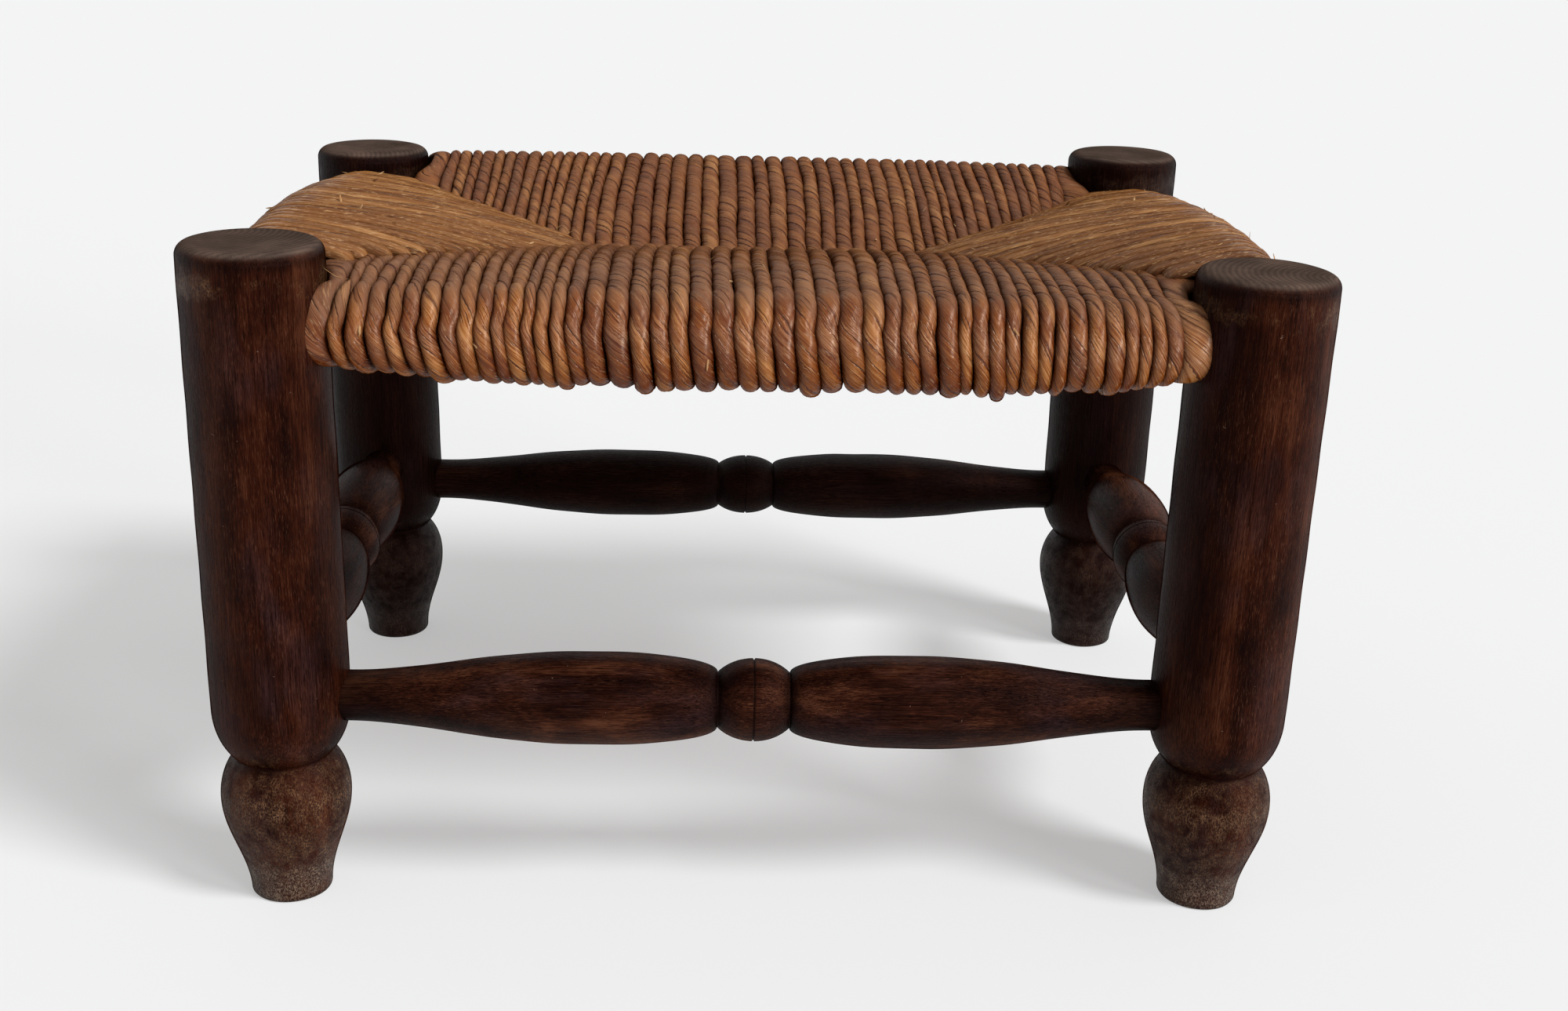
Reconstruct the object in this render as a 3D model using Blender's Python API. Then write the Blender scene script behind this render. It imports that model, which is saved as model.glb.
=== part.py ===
"""Rush-seated footstool on four turned legs.

Every piece is its own object at its real size in metres. +X runs along the stool's length, the front
is at -Y, +Z is up and the feet stand on Z = 0. Round tenons on the stretchers and seat rails sit in
blind mortises in the legs; the rush is wound over the rails and stuffed with rush waste.
"""

import math

import bmesh
import bpy

# Legs: straight posts turned down to a neck, a bulb and a tapered foot. LEG_HEIGHT is the height meant, from
# which the seat is set out; the four legs were cut a few millimetres over or under it
LEG_SPACING_X = 0.3500
LEG_SPACING_Y = 0.2474
LEG_HEIGHT = 0.2460
FRONT_LEFT_LEG_EXTRA = 0.0036
FRONT_RIGHT_LEG_EXTRA = 0.0009
BACK_LEFT_LEG_EXTRA = -0.0028
BACK_RIGHT_LEG_EXTRA = 0.0027
LEG_RADIUS = 0.0250
LEG_TOP_ROUND = 0.0045
SHAFT_ROUND_HEIGHT = 0.0200
NECK_RADIUS = 0.0175
NECK_SWEEP = math.radians(55)
BULB_RISE = 0.0165
BULB_RADIUS = 0.0237
FOOT_HEIGHT = 0.0410
FOOT_RADIUS = 0.0148

# Stretchers: two long bellies with a ball between them; heights are of the axis above the floor
LONG_STRETCHER_HEIGHT = 0.0800
SHORT_STRETCHER_HEIGHT = 0.0927
STRETCHER_END_RADIUS = 0.0095
BELLY_RADIUS = 0.0175
BACK_BELLY_RADIUS = 0.0163
BALL_RADIUS = 0.0157
BACK_BALL_RADIUS = 0.0146
BALL_HALF_LENGTH = 0.0135
GROOVE_RADIUS = 0.0104
LONG_BELLY_OFFSET = 0.0435
SHORT_BELLY_OFFSET = 0.0300
TAPER_FULLNESS = 1.2

# Seat rails: plain round bars under the rush; drops are from LEG_HEIGHT to the axis. The side rails fall
# towards the back, so they have a drop at each leg
FRONT_RAIL_DROP = 0.0238
BACK_RAIL_DROP = 0.0190
SIDE_RAIL_FRONT_DROP = 0.0100
SIDE_RAIL_BACK_DROP = 0.0250
RAIL_RADIUS = 0.0085
RAIL_TENON_RADIUS = 0.0070
RAIL_TAPER_LENGTH = 0.0120

# Joints: clearance round a tenon, room past its end, wood left between crossing mortises,
# and how far a bore starts outside the leg
TENON_CLEARANCE = 0.0003
TENON_END_ROOM = 0.0005
MORTISE_WALL = 0.0015
BORE_OVERRUN = 0.0050

# Woven rush: strands are counted from a corner in to the mitre's end, then across the middle
CORNER_COURSES = 15
BRIDGE_COURSES = 19
LONG_RUSH_THICKNESS = 0.0062
LONG_RUSH_END_THICKNESS = 0.0050
SIDE_RUSH_THICKNESS = 0.0080
SIDE_RUSH_END_THICKNESS = 0.0035
STRAND_VALLEY = 0.0022
LONG_WRAP_SLACK = 0.0028
SIDE_WRAP_SLACK = 0.0014
FRONT_WRAP_SQUARENESS = 3.2
BACK_WRAP_SQUARENESS = 2.2
SIDE_WRAP_SQUARENESS = 2.5
SIDE_PANEL_DEPTH = 0.1080
MITRE_OVERLAP_STEP = 0.0025

# Seat dish: drops are from LEG_HEIGHT to the rush surface, crowns are rise for each unit of length
FRONT_CORNER_DROP = 0.0030
BACK_CORNER_DROP = 0.0160
APEX_DROP = 0.0220
CENTRE_DROP = 0.0245
FRONT_CROWN = 0.058
BACK_CROWN = 0.020
SIDE_CROWN = 0.030
UNDERSIDE_CROWN = 0.010
CORNER_STUFFING = 0.0120
CENTRE_STUFFING = 0.0060

# Clearances between the rush and what it touches
RUSH_TO_RAIL = 0.0003
RUSH_TO_LEG = 0.0008
RUSH_SEAM = 0.0005
STUFFING_CLEARANCE = 0.0012
STUFFING_INSET = 0.0040

# Facets of the round pieces, and how the rush surface is divided
LEG_FACETS = 24
STRETCHER_FACETS = 16
RAIL_FACETS = 12
ROUND_STEPS = 3
FOOT_STEPS = 5
TAPER_STEPS = 5
BELLY_STEPS = 4
BALL_STEPS = 3
WRAP_STEPS = 4
CROWN_STEPS = 3
LINING_EVERY = 5
LEG_HUG_POWER = 8
LONG_FULLNESS_POWER = 4
SIDE_FULLNESS_POWER = 2
DISH_POWER = 4
MERGE_DISTANCE = 1e-6
SHARP_ANGLE = math.radians(35)

HALF_X = LEG_SPACING_X / 2
HALF_Y = LEG_SPACING_Y / 2
SHAFT_END = FOOT_HEIGHT + BULB_RISE + SHAFT_ROUND_HEIGHT
NECK_HEIGHT = FOOT_HEIGHT + BULB_RISE
RAIL_MORTISE_START = RAIL_TENON_RADIUS + TENON_CLEARANCE + MORTISE_WALL
STRETCHER_MORTISE_START = STRETCHER_END_RADIUS + TENON_CLEARANCE + MORTISE_WALL
APEX_X = HALF_X - SIDE_PANEL_DEPTH
SIDE_RAIL_TILT = math.atan2(SIDE_RAIL_FRONT_DROP - SIDE_RAIL_BACK_DROP, LEG_SPACING_Y)
CORNER_X = HALF_X - LEG_RADIUS * math.cos(math.pi / 4)
CORNER_Y = HALF_Y - LEG_RADIUS * math.sin(math.pi / 4)
LINING_RADIUS = (RAIL_RADIUS + RUSH_TO_RAIL) / math.cos(math.pi / (2 * WRAP_STEPS))


def clear_scene():
    for thing in list(bpy.data.objects):
        bpy.data.objects.remove(thing, do_unlink=True)


def finish(name, colour, roughness):
    """A plain non-metal finish in one colour."""
    made = bpy.data.materials.new(name)
    made.use_nodes = True
    surface = made.node_tree.nodes["Principled BSDF"]
    surface.inputs["Base Color"].default_value = (*colour, 1.0)
    surface.inputs["Roughness"].default_value = roughness
    surface.inputs["Metallic"].default_value = 0.0
    return made


def add_piece(name, mesh, material):
    piece = bpy.data.objects.new(name, mesh)
    mesh.materials.append(material)
    bpy.context.scene.collection.objects.link(piece)
    return piece


def turned(name, outline, facets, material):
    """A solid turned about local Z. The outline is (radius, height) pairs from its top to its foot."""
    form = bmesh.new()
    points = [form.verts.new((radius, 0.0, height)) for radius, height in outline]
    edges = [form.edges.new(pair) for pair in zip(points, points[1:])]
    bmesh.ops.spin(
        form,
        geom=points + edges,
        axis=(0, 0, 1),
        cent=(0, 0, 0),
        steps=facets,
        angle=2 * math.pi,
    )
    bmesh.ops.remove_doubles(form, verts=form.verts, dist=MERGE_DISTANCE)
    bmesh.ops.recalc_face_normals(form, faces=form.faces)
    mesh = bpy.data.meshes.new(name)
    form.to_mesh(mesh)
    form.free()
    mesh.shade_smooth()
    mesh.set_sharp_from_angle(angle=SHARP_ANGLE)
    return add_piece(name, mesh, material)


def rounded(start_radius, start_height, end_radius, end_height, sweep, steps):
    """Points along an elliptic arc that leaves the start upright, without the start.

    A sweep of a quarter turn ends level; a shorter one ends at a slope.
    """
    points = []
    for step in range(1, steps + 1):
        angle = sweep * step / steps
        inwards = (1 - math.cos(angle)) / (1 - math.cos(sweep))
        onwards = math.sin(angle) / math.sin(sweep)
        radius = start_radius + (end_radius - start_radius) * inwards
        points.append((radius, start_height + (end_height - start_height) * onwards))
    return points


def eased(share):
    """1 at share 0 and 0 at share 1, level at both ends."""
    return 0.5 + 0.5 * math.cos(math.pi * share)


def leg_outline(height):
    shoulder = height - LEG_TOP_ROUND
    top_edge = rounded(LEG_RADIUS, shoulder, LEG_RADIUS - LEG_TOP_ROUND, height, math.pi / 2, ROUND_STEPS)
    bulb_top = rounded(BULB_RADIUS, FOOT_HEIGHT, NECK_RADIUS, NECK_HEIGHT, NECK_SWEEP, ROUND_STEPS)
    outline = [(0.0, height)]
    outline += reversed(top_edge)
    outline += [(LEG_RADIUS, shoulder), (LEG_RADIUS, SHAFT_END)]
    outline += rounded(LEG_RADIUS, SHAFT_END, NECK_RADIUS, NECK_HEIGHT, NECK_SWEEP, ROUND_STEPS)
    outline += reversed(bulb_top[:-1])
    for step in range(FOOT_STEPS + 1):
        share = step / FOOT_STEPS
        radius = FOOT_RADIUS + (BULB_RADIUS - FOOT_RADIUS) * eased(share)
        outline.append((radius, FOOT_HEIGHT * (1 - share)))
    outline.append((0.0, 0.0))
    return outline


def stretcher_outline(leg_spacing, belly_radius, ball_radius, belly_offset):
    """Half of a stretcher from its tenon's end in to the ball, then the same mirrored."""
    half = leg_spacing / 2
    tenon_end = half - STRETCHER_MORTISE_START - TENON_END_ROOM
    leg_face = half - LEG_RADIUS
    belly = BALL_HALF_LENGTH + belly_offset
    side = [(0.0, tenon_end), (STRETCHER_END_RADIUS, tenon_end), (STRETCHER_END_RADIUS, leg_face)]
    for step in range(TAPER_STEPS - 1, -1, -1):
        share = step / TAPER_STEPS
        radius = STRETCHER_END_RADIUS + (belly_radius - STRETCHER_END_RADIUS) * eased(share**TAPER_FULLNESS)
        side.append((radius, belly + (leg_face - belly) * share))
    for step in range(1, BELLY_STEPS + 1):
        share = step / BELLY_STEPS
        radius = GROOVE_RADIUS + (belly_radius - GROOVE_RADIUS) * math.sqrt(1 - share * share)
        side.append((radius, belly - belly_offset * share))
    ball_reach = BALL_HALF_LENGTH / math.sqrt(1 - (GROOVE_RADIUS / ball_radius) ** 2)
    for step in range(BALL_STEPS - 1, 0, -1):
        along = BALL_HALF_LENGTH * step / BALL_STEPS
        side.append((ball_radius * math.sqrt(1 - (along / ball_reach) ** 2), along))
    middle = [(ball_radius, 0.0)]
    return side + middle + [(radius, -along) for radius, along in reversed(side)]


def rail_outline(leg_spacing):
    half = leg_spacing / 2
    tenon_end = half - RAIL_MORTISE_START - TENON_END_ROOM
    leg_face = half - LEG_RADIUS
    side = [
        (0.0, tenon_end),
        (RAIL_TENON_RADIUS, tenon_end),
        (RAIL_TENON_RADIUS, leg_face),
        (RAIL_RADIUS, leg_face - RAIL_TAPER_LENGTH),
    ]
    return side + [(radius, -along) for radius, along in reversed(side)]


def lay_along(piece, axis, across, height, tilt=0.0):
    """Lays a turned bar along X or Y, at its place across the stool; tilt tips a bar along Y."""
    if axis == "X":
        piece.rotation_euler = (0.0, math.pi / 2, 0.0)
        piece.location = (0.0, across, height)
    else:
        piece.rotation_euler = (math.pi / 2 + tilt, 0.0, 0.0)
        piece.location = (across, 0.0, height)


def leg_mortises(rail_drop, side_rail_drop):
    """The four bores in a leg: (axis, height, tilt, radius, start from the leg's axis, facets)."""
    rail = (RAIL_TENON_RADIUS + TENON_CLEARANCE, RAIL_MORTISE_START, RAIL_FACETS)
    stretcher = (STRETCHER_END_RADIUS + TENON_CLEARANCE, STRETCHER_MORTISE_START, STRETCHER_FACETS)
    return [
        ("X", LEG_HEIGHT - rail_drop, 0.0, *rail),
        ("Y", LEG_HEIGHT - side_rail_drop, SIDE_RAIL_TILT, *rail),
        ("X", LONG_STRETCHER_HEIGHT, 0.0, *stretcher),
        ("Y", SHORT_STRETCHER_HEIGHT, 0.0, *stretcher),
    ]


def cut_mortises(leg, mortises):
    """Bores each blind mortise from the leg's inner side, towards the stool's middle."""
    mouth = LEG_RADIUS + BORE_OVERRUN
    for number, (axis, height, tilt, radius, start, facets) in enumerate(mortises):
        outline = [(0.0, mouth), (radius, mouth), (radius, start), (0.0, start)]
        cutter = turned(f"{leg.name}_bore_{number}", outline, facets, leg.data.materials[0])
        lay_along(cutter, axis, 0.0, height, tilt)
        if axis == "X" and leg.location.x > 0:
            cutter.rotation_euler.y -= math.pi
        if axis == "Y" and leg.location.y < 0:
            cutter.rotation_euler.x -= math.pi
        cutter.location.x = leg.location.x
        cutter.location.y = leg.location.y
        cutter.hide_render = True
        cutter.display_type = "WIRE"
        bore = leg.modifiers.new(f"mortise_{number}", "BOOLEAN")
        bore.operation = "DIFFERENCE"
        bore.object = cutter


def strand_edges(run, apex, bridge_courses):
    """Positions of the lines between strands along a rail, from one leg to the other."""
    corner_pitch = (run - apex) / CORNER_COURSES
    edges = [-run + corner_pitch * n for n in range(CORNER_COURSES)]
    for n in range(bridge_courses):
        edges.append(-apex + 2 * apex * n / bridge_courses)
    edges += [apex + corner_pitch * n for n in range(CORNER_COURSES + 1)]
    return edges


class RushPanel:
    """One of the four woven panels, in its own frame: s along the rail, p from the rail in to the middle.

    rail_drops and corner_drops are given at the two legs, from the lower s to the higher; thicknesses are
    those of the rush at the middle of the rail and at its ends.
    """

    def __init__(
        self,
        half_span,
        leg_along,
        apex,
        bridge_courses,
        rail_drops,
        corner_drops,
        thicknesses,
        fullness_power,
        slack,
        squareness,
        crown,
        end_step,
    ):
        self.half_span = half_span
        self.leg_along = leg_along
        self.run = leg_along - LEG_RADIUS - RUSH_TO_LEG
        self.apex = apex
        self.bridges = bool(bridge_courses)
        self.rail_drops = rail_drops
        self.corner_drops = corner_drops
        self.thicknesses = thicknesses
        self.fullness_power = fullness_power
        self.slack = slack
        self.squareness = squareness
        self.crown = crown
        self.end_step = end_step
        self.edges = strand_edges(self.run, apex, bridge_courses)

    def fullness(self, s):
        """0 beside the legs and 1 along most of the rail."""
        return 1 - abs(s / self.run) ** self.fullness_power

    def thickness(self, s):
        middle, end = self.thicknesses
        return end + (middle - end) * self.fullness(s)

    def rail_height(self, s):
        """Height of the rail's axis."""
        near, far = self.rail_drops
        return LEG_HEIGHT - near - (far - near) * (1 + s / self.leg_along) / 2

    def mitre_share(self, s):
        """0 at the leg's corner and 1 at the mitre's inner end."""
        if self.bridges:
            return min(1.0, (CORNER_X - abs(s)) / (CORNER_X - APEX_X))
        return 1 - abs(s) / CORNER_Y

    def reach(self, s):
        """How far in from the rail's axis a strand runs before it meets the next panel."""
        share = self.mitre_share(s)
        if self.bridges:
            end = CORNER_Y * (1 - share)
        else:
            end = CORNER_X + (APEX_X - CORNER_X) * share
        return self.half_span - end - RUSH_SEAM

    def top_end(self, s):
        share = self.mitre_share(s)
        corner = self.corner_drops[0] if s < 0 else self.corner_drops[1]
        drop = corner + (APEX_DROP - corner) * share
        if self.bridges and abs(s) < self.apex:
            blend = eased((abs(s) / self.apex) ** DISH_POWER)
            drop += (CENTRE_DROP - self.end_step - APEX_DROP) * blend
        return LEG_HEIGHT - drop - self.end_step

    def under_end(self, s):
        share = self.mitre_share(s)
        stuffing = CORNER_STUFFING + (CENTRE_STUFFING - CORNER_STUFFING) * share
        return self.top_end(s) - 2 * self.thickness(s) - stuffing - 2 * STUFFING_CLEARANCE

    def section(self, s, depth):
        """(p, z) points round one strand from its top end, over the rail to its under end.

        depth is how far the points lie inside the strands' crests.
        """
        slack = self.slack * self.fullness(s)
        centre = self.rail_height(s) - slack
        radius = LINING_RADIUS + slack + self.thickness(s) - depth
        reach = self.reach(s)
        top, under = self.top_end(s) - depth, self.under_end(s) + depth
        points = []
        for step in range(CROWN_STEPS):
            share = 1 - step / CROWN_STEPS
            rise = 4 * share * (1 - share) * self.crown * reach
            points.append((reach * share, centre + radius + (top - centre - radius) * share + rise))
        for step in range(WRAP_STEPS + 1):
            angle = math.pi * step / WRAP_STEPS
            outwards = abs(math.sin(angle)) ** (2 / self.squareness)
            upwards = math.copysign(abs(math.cos(angle)) ** (2 / self.squareness), math.cos(angle))
            points.append((-radius * outwards, centre + radius * upwards))
        sag = UNDERSIDE_CROWN * reach
        points.append((reach / 2, (centre - radius + under) / 2 - sag))
        points.append((reach, under))
        return points

    def along(self, s, p):
        """s moved outwards on the outer side of the rail, where the end strands hug the round leg."""
        if p >= 0:
            return s
        face = self.leg_along - math.sqrt((LEG_RADIUS + RUSH_TO_LEG) ** 2 - p * p)
        return s + math.copysign((abs(s) / self.run) ** LEG_HUG_POWER * (face - self.run), s)

    def place(self, s, p, z):
        return (self.along(s, p), p - self.half_span, z)


def solid_from(name, points, faces, material):
    form = bmesh.new()
    corners = [form.verts.new(point) for point in points]
    for face in faces:
        form.faces.new([corners[n] for n in face])
    bmesh.ops.recalc_face_normals(form, faces=form.faces)
    bmesh.ops.triangulate(form, faces=form.faces)
    mesh = bpy.data.meshes.new(name)
    form.to_mesh(mesh)
    form.free()
    return add_piece(name, mesh, material)


def add_grid(points, columns):
    """Adds each column's points and returns their numbers, column by column."""
    numbers = []
    for column in columns:
        first = len(points)
        points.extend(column)
        numbers.append(list(range(first, len(points))))
    return numbers


def grid_faces(numbers):
    faces = []
    for left, right in zip(numbers, numbers[1:]):
        for row in range(len(left) - 1):
            faces.append((left[row], left[row + 1], right[row + 1], right[row]))
    return faces


def stitch(fine, fine_at, coarse, coarse_at):
    """Triangles between two chains of points that run side by side, kept in step by their positions."""
    faces = []
    i = j = 0
    while i < len(fine) - 1 or j < len(coarse) - 1:
        fine_is_next = j == len(coarse) - 1 or (i < len(fine) - 1 and fine_at[i + 1] <= coarse_at[j + 1])
        if fine_is_next:
            faces.append((fine[i], fine[i + 1], coarse[j]))
            i += 1
        else:
            faces.append((fine[i], coarse[j + 1], coarse[j]))
            j += 1
    return faces


def lining_columns(panel):
    """The strand lines that the plain inner side follows, with the mitres' ends among them."""
    chosen = set(panel.edges[::LINING_EVERY]) | {panel.edges[-1]}
    chosen |= {edge for edge in panel.edges if math.isclose(abs(edge), panel.apex, abs_tol=1e-9)}
    return sorted(chosen)


def rush_panel(name, panel, turn, material):
    """A ribbed sheet of strands wound over its rail, smooth inside and open towards the middle."""
    rib_at = []
    for left, right in zip(panel.edges, panel.edges[1:]):
        rib_at += [(left, STRAND_VALLEY), ((left + right) / 2, 0.0)]
    rib_at.append((panel.edges[-1], STRAND_VALLEY))
    outside = [[panel.place(s, p, z) for p, z in panel.section(s, depth)] for s, depth in rib_at]
    lining_at = lining_columns(panel)
    lining = [[panel.place(s, p, z) for p, z in panel.section(s, panel.thickness(s))] for s in lining_at]
    points = []
    outer = add_grid(points, outside)
    inner = add_grid(points, lining)
    faces = grid_faces(outer) + grid_faces(inner)
    outer_at = [s for s, depth in rib_at]
    for row in (0, -1):
        fine = [column[row] for column in outer]
        coarse = [column[row] for column in inner]
        faces += stitch(fine, outer_at, coarse, lining_at)
    for end in (0, -1):
        faces += grid_faces([outer[end], inner[end]])
    piece = solid_from(name, points, faces, material)
    piece.rotation_euler.z = turn
    return piece


def height_on(section, p):
    """The height of a panel's lining at p, on the straight stretches between its points."""
    for (p0, z0), (p1, z1) in zip(section, section[1:]):
        if min(p0, p1) <= p <= max(p0, p1):
            return z0 + (z1 - z0) * (p - p0) / (p1 - p0)
    return section[0][1]


def rush_stuffing(name, panel, turn, material):
    """The wad of rush waste packed between a panel's upper and under layers, behind its rail."""
    columns_at = [s for s in lining_columns(panel) if abs(s) < panel.run - STUFFING_INSET]
    columns_at = [STUFFING_INSET - panel.run] + columns_at + [panel.run - STUFFING_INSET]
    upper, under = [], []
    start = RAIL_RADIUS + STUFFING_CLEARANCE
    for s in columns_at:
        lining = panel.section(s, panel.thickness(s))
        above = lining[: CROWN_STEPS + 1]
        below = lining[CROWN_STEPS + WRAP_STEPS :]
        stop = panel.reach(s) - STUFFING_CLEARANCE
        steps = [start + (stop - start) * n / CROWN_STEPS for n in range(CROWN_STEPS + 1)]
        upper.append([panel.place(s, p, height_on(above, p) - STUFFING_CLEARANCE) for p in steps])
        under.append([panel.place(s, p, height_on(below, p) + STUFFING_CLEARANCE) for p in steps])
    points = []
    top = add_grid(points, upper)
    bottom = add_grid(points, under)
    faces = grid_faces(top) + grid_faces(bottom)
    for row in (0, -1):
        faces += grid_faces([[column[row] for column in top], [column[row] for column in bottom]])
    for end in (0, -1):
        faces += grid_faces([top[end], bottom[end]])
    piece = solid_from(name, points, faces, material)
    piece.rotation_euler.z = turn
    return piece


def build_legs(wood):
    front = ("front", -HALF_Y, FRONT_RAIL_DROP, SIDE_RAIL_FRONT_DROP)
    back = ("back", HALF_Y, BACK_RAIL_DROP, SIDE_RAIL_BACK_DROP)
    for (end, y, rail_drop, side_rail_drop), hand, x, extra in (
        (front, "left", -HALF_X, FRONT_LEFT_LEG_EXTRA),
        (front, "right", HALF_X, FRONT_RIGHT_LEG_EXTRA),
        (back, "left", -HALF_X, BACK_LEFT_LEG_EXTRA),
        (back, "right", HALF_X, BACK_RIGHT_LEG_EXTRA),
    ):
        leg = turned(f"leg_{end}_{hand}", leg_outline(LEG_HEIGHT + extra), LEG_FACETS, wood)
        leg.location = (x, y, 0.0)
        cut_mortises(leg, leg_mortises(rail_drop, side_rail_drop))


def build_stretchers(wood):
    for end, y, belly, ball in (
        ("front", -HALF_Y, BELLY_RADIUS, BALL_RADIUS),
        ("back", HALF_Y, BACK_BELLY_RADIUS, BACK_BALL_RADIUS),
    ):
        outline = stretcher_outline(LEG_SPACING_X, belly, ball, LONG_BELLY_OFFSET)
        piece = turned(f"stretcher_{end}", outline, STRETCHER_FACETS, wood)
        lay_along(piece, "X", y, LONG_STRETCHER_HEIGHT)
    for hand, x in (("left", -HALF_X), ("right", HALF_X)):
        outline = stretcher_outline(LEG_SPACING_Y, BELLY_RADIUS, BALL_RADIUS, SHORT_BELLY_OFFSET)
        piece = turned(f"stretcher_{hand}", outline, STRETCHER_FACETS, wood)
        lay_along(piece, "Y", x, SHORT_STRETCHER_HEIGHT)


def build_rails(wood):
    for end, y, drop in (("front", -HALF_Y, FRONT_RAIL_DROP), ("back", HALF_Y, BACK_RAIL_DROP)):
        piece = turned(f"seat_rail_{end}", rail_outline(LEG_SPACING_X), RAIL_FACETS, wood)
        lay_along(piece, "X", y, LEG_HEIGHT - drop)
    for hand, x in (("left", -HALF_X), ("right", HALF_X)):
        piece = turned(f"seat_rail_{hand}", rail_outline(LEG_SPACING_Y), RAIL_FACETS, wood)
        height = LEG_HEIGHT - (SIDE_RAIL_FRONT_DROP + SIDE_RAIL_BACK_DROP) / 2
        lay_along(piece, "Y", x, height, SIDE_RAIL_TILT)


def build_seat(rush, waste):
    long_ways = {"half_span": HALF_Y, "leg_along": HALF_X, "apex": APEX_X, "bridge_courses": BRIDGE_COURSES}
    long_ways |= {"slack": LONG_WRAP_SLACK, "end_step": MITRE_OVERLAP_STEP}
    long_ways |= {"thicknesses": (LONG_RUSH_THICKNESS, LONG_RUSH_END_THICKNESS)}
    long_ways |= {"fullness_power": LONG_FULLNESS_POWER}
    front_ways = long_ways | {"rail_drops": (FRONT_RAIL_DROP,) * 2, "corner_drops": (FRONT_CORNER_DROP,) * 2}
    front_ways |= {"squareness": FRONT_WRAP_SQUARENESS, "crown": FRONT_CROWN}
    back_ways = long_ways | {"rail_drops": (BACK_RAIL_DROP,) * 2, "corner_drops": (BACK_CORNER_DROP,) * 2}
    back_ways |= {"squareness": BACK_WRAP_SQUARENESS, "crown": BACK_CROWN}
    side_ways = {"half_span": HALF_X, "leg_along": HALF_Y, "apex": 0.0, "bridge_courses": 0, "end_step": 0.0}
    side_ways |= {"slack": SIDE_WRAP_SLACK, "squareness": SIDE_WRAP_SQUARENESS, "crown": SIDE_CROWN}
    side_ways |= {"thicknesses": (SIDE_RUSH_THICKNESS, SIDE_RUSH_END_THICKNESS)}
    side_ways |= {"fullness_power": SIDE_FULLNESS_POWER}
    rail_drops = (SIDE_RAIL_FRONT_DROP, SIDE_RAIL_BACK_DROP)
    corner_drops = (FRONT_CORNER_DROP, BACK_CORNER_DROP)
    right_ways = side_ways | {"rail_drops": rail_drops, "corner_drops": corner_drops}
    left_ways = side_ways | {"rail_drops": rail_drops[::-1], "corner_drops": corner_drops[::-1]}
    panels = {
        "front": (RushPanel(**front_ways), 0.0),
        "right": (RushPanel(**right_ways), math.pi / 2),
        "back": (RushPanel(**back_ways), math.pi),
        "left": (RushPanel(**left_ways), -math.pi / 2),
    }
    for place, (panel, turn) in panels.items():
        rush_panel(f"rush_panel_{place}", panel, turn, rush)
        rush_stuffing(f"rush_stuffing_{place}", panel, turn, waste)


clear_scene()
build_legs(finish("dark_polished_wood", (0.042, 0.016, 0.011), 0.38))
build_stretchers(finish("dark_turned_wood", (0.048, 0.018, 0.012), 0.38))
build_rails(finish("rail_wood", (0.12, 0.065, 0.035), 0.65))
build_seat(finish("woven_rush", (0.30, 0.13, 0.042), 0.55), finish("rush_waste", (0.33, 0.19, 0.08), 0.9))
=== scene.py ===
import math
from types import SimpleNamespace

import bpy
import numpy as np
from mathutils import Matrix, Vector, noise


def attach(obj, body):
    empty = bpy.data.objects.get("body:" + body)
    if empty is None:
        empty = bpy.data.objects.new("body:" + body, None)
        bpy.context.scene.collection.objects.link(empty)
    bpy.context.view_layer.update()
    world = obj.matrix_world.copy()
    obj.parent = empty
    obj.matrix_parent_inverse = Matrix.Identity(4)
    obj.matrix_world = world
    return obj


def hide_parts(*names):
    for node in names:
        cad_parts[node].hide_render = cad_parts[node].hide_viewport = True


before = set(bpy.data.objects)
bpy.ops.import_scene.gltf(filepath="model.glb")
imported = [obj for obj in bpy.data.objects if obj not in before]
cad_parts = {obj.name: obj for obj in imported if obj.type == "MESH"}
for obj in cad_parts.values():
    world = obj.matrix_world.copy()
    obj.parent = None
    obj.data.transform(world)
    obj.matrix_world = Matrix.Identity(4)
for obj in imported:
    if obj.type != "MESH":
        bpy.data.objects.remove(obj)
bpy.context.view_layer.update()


# The studio: a wide pale floor under even light from all round, with soft window light from the right, high
# and low. The camera stands above the seat and a little left of the middle, tipped down, as in the photo.
PHOTO_WIDTH = 2000
FOCAL_LENGTH_PIXELS = 2358
SENSOR_WIDTH_MM = 36.0
CAMERA_PLACE = (-0.0173, -0.7495, 0.3811)
CAMERA_TURN = math.radians(-2.423)
CAMERA_TIP = math.radians(-19.66)
CAMERA_LEAN = math.radians(1.771)
NEAREST_SEEN = 0.01

FLOOR_SIDE = 30.0
FLOOR_COLOUR = (0.80, 0.80, 0.80, 1)
FLOOR_GLOW = (1.0, 1.0, 1.0, 1)
FLOOR_GLOW_SHARE = 0.40
BACKDROP_COLOUR = (0.905, 0.905, 0.905, 1)
SKY_COLOUR = (1.0, 0.985, 0.965, 1)
SKY_STRENGTH = 0.36
WINDOW_COLOUR = (0.97, 0.985, 1.0)
WINDOW_WIDTH = math.radians(16)
# Each window's name, its strength and where its light comes from.
WINDOWS = [("high_window", 2.65, (0.60, -0.36, 0.72)), ("low_window", 1.9, (0.72, -0.68, 0.17))]


def placed(name, data):
    """A new object, put in the scene."""
    thing = bpy.data.objects.new(name, data)
    bpy.context.collection.objects.link(thing)
    return thing


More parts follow.
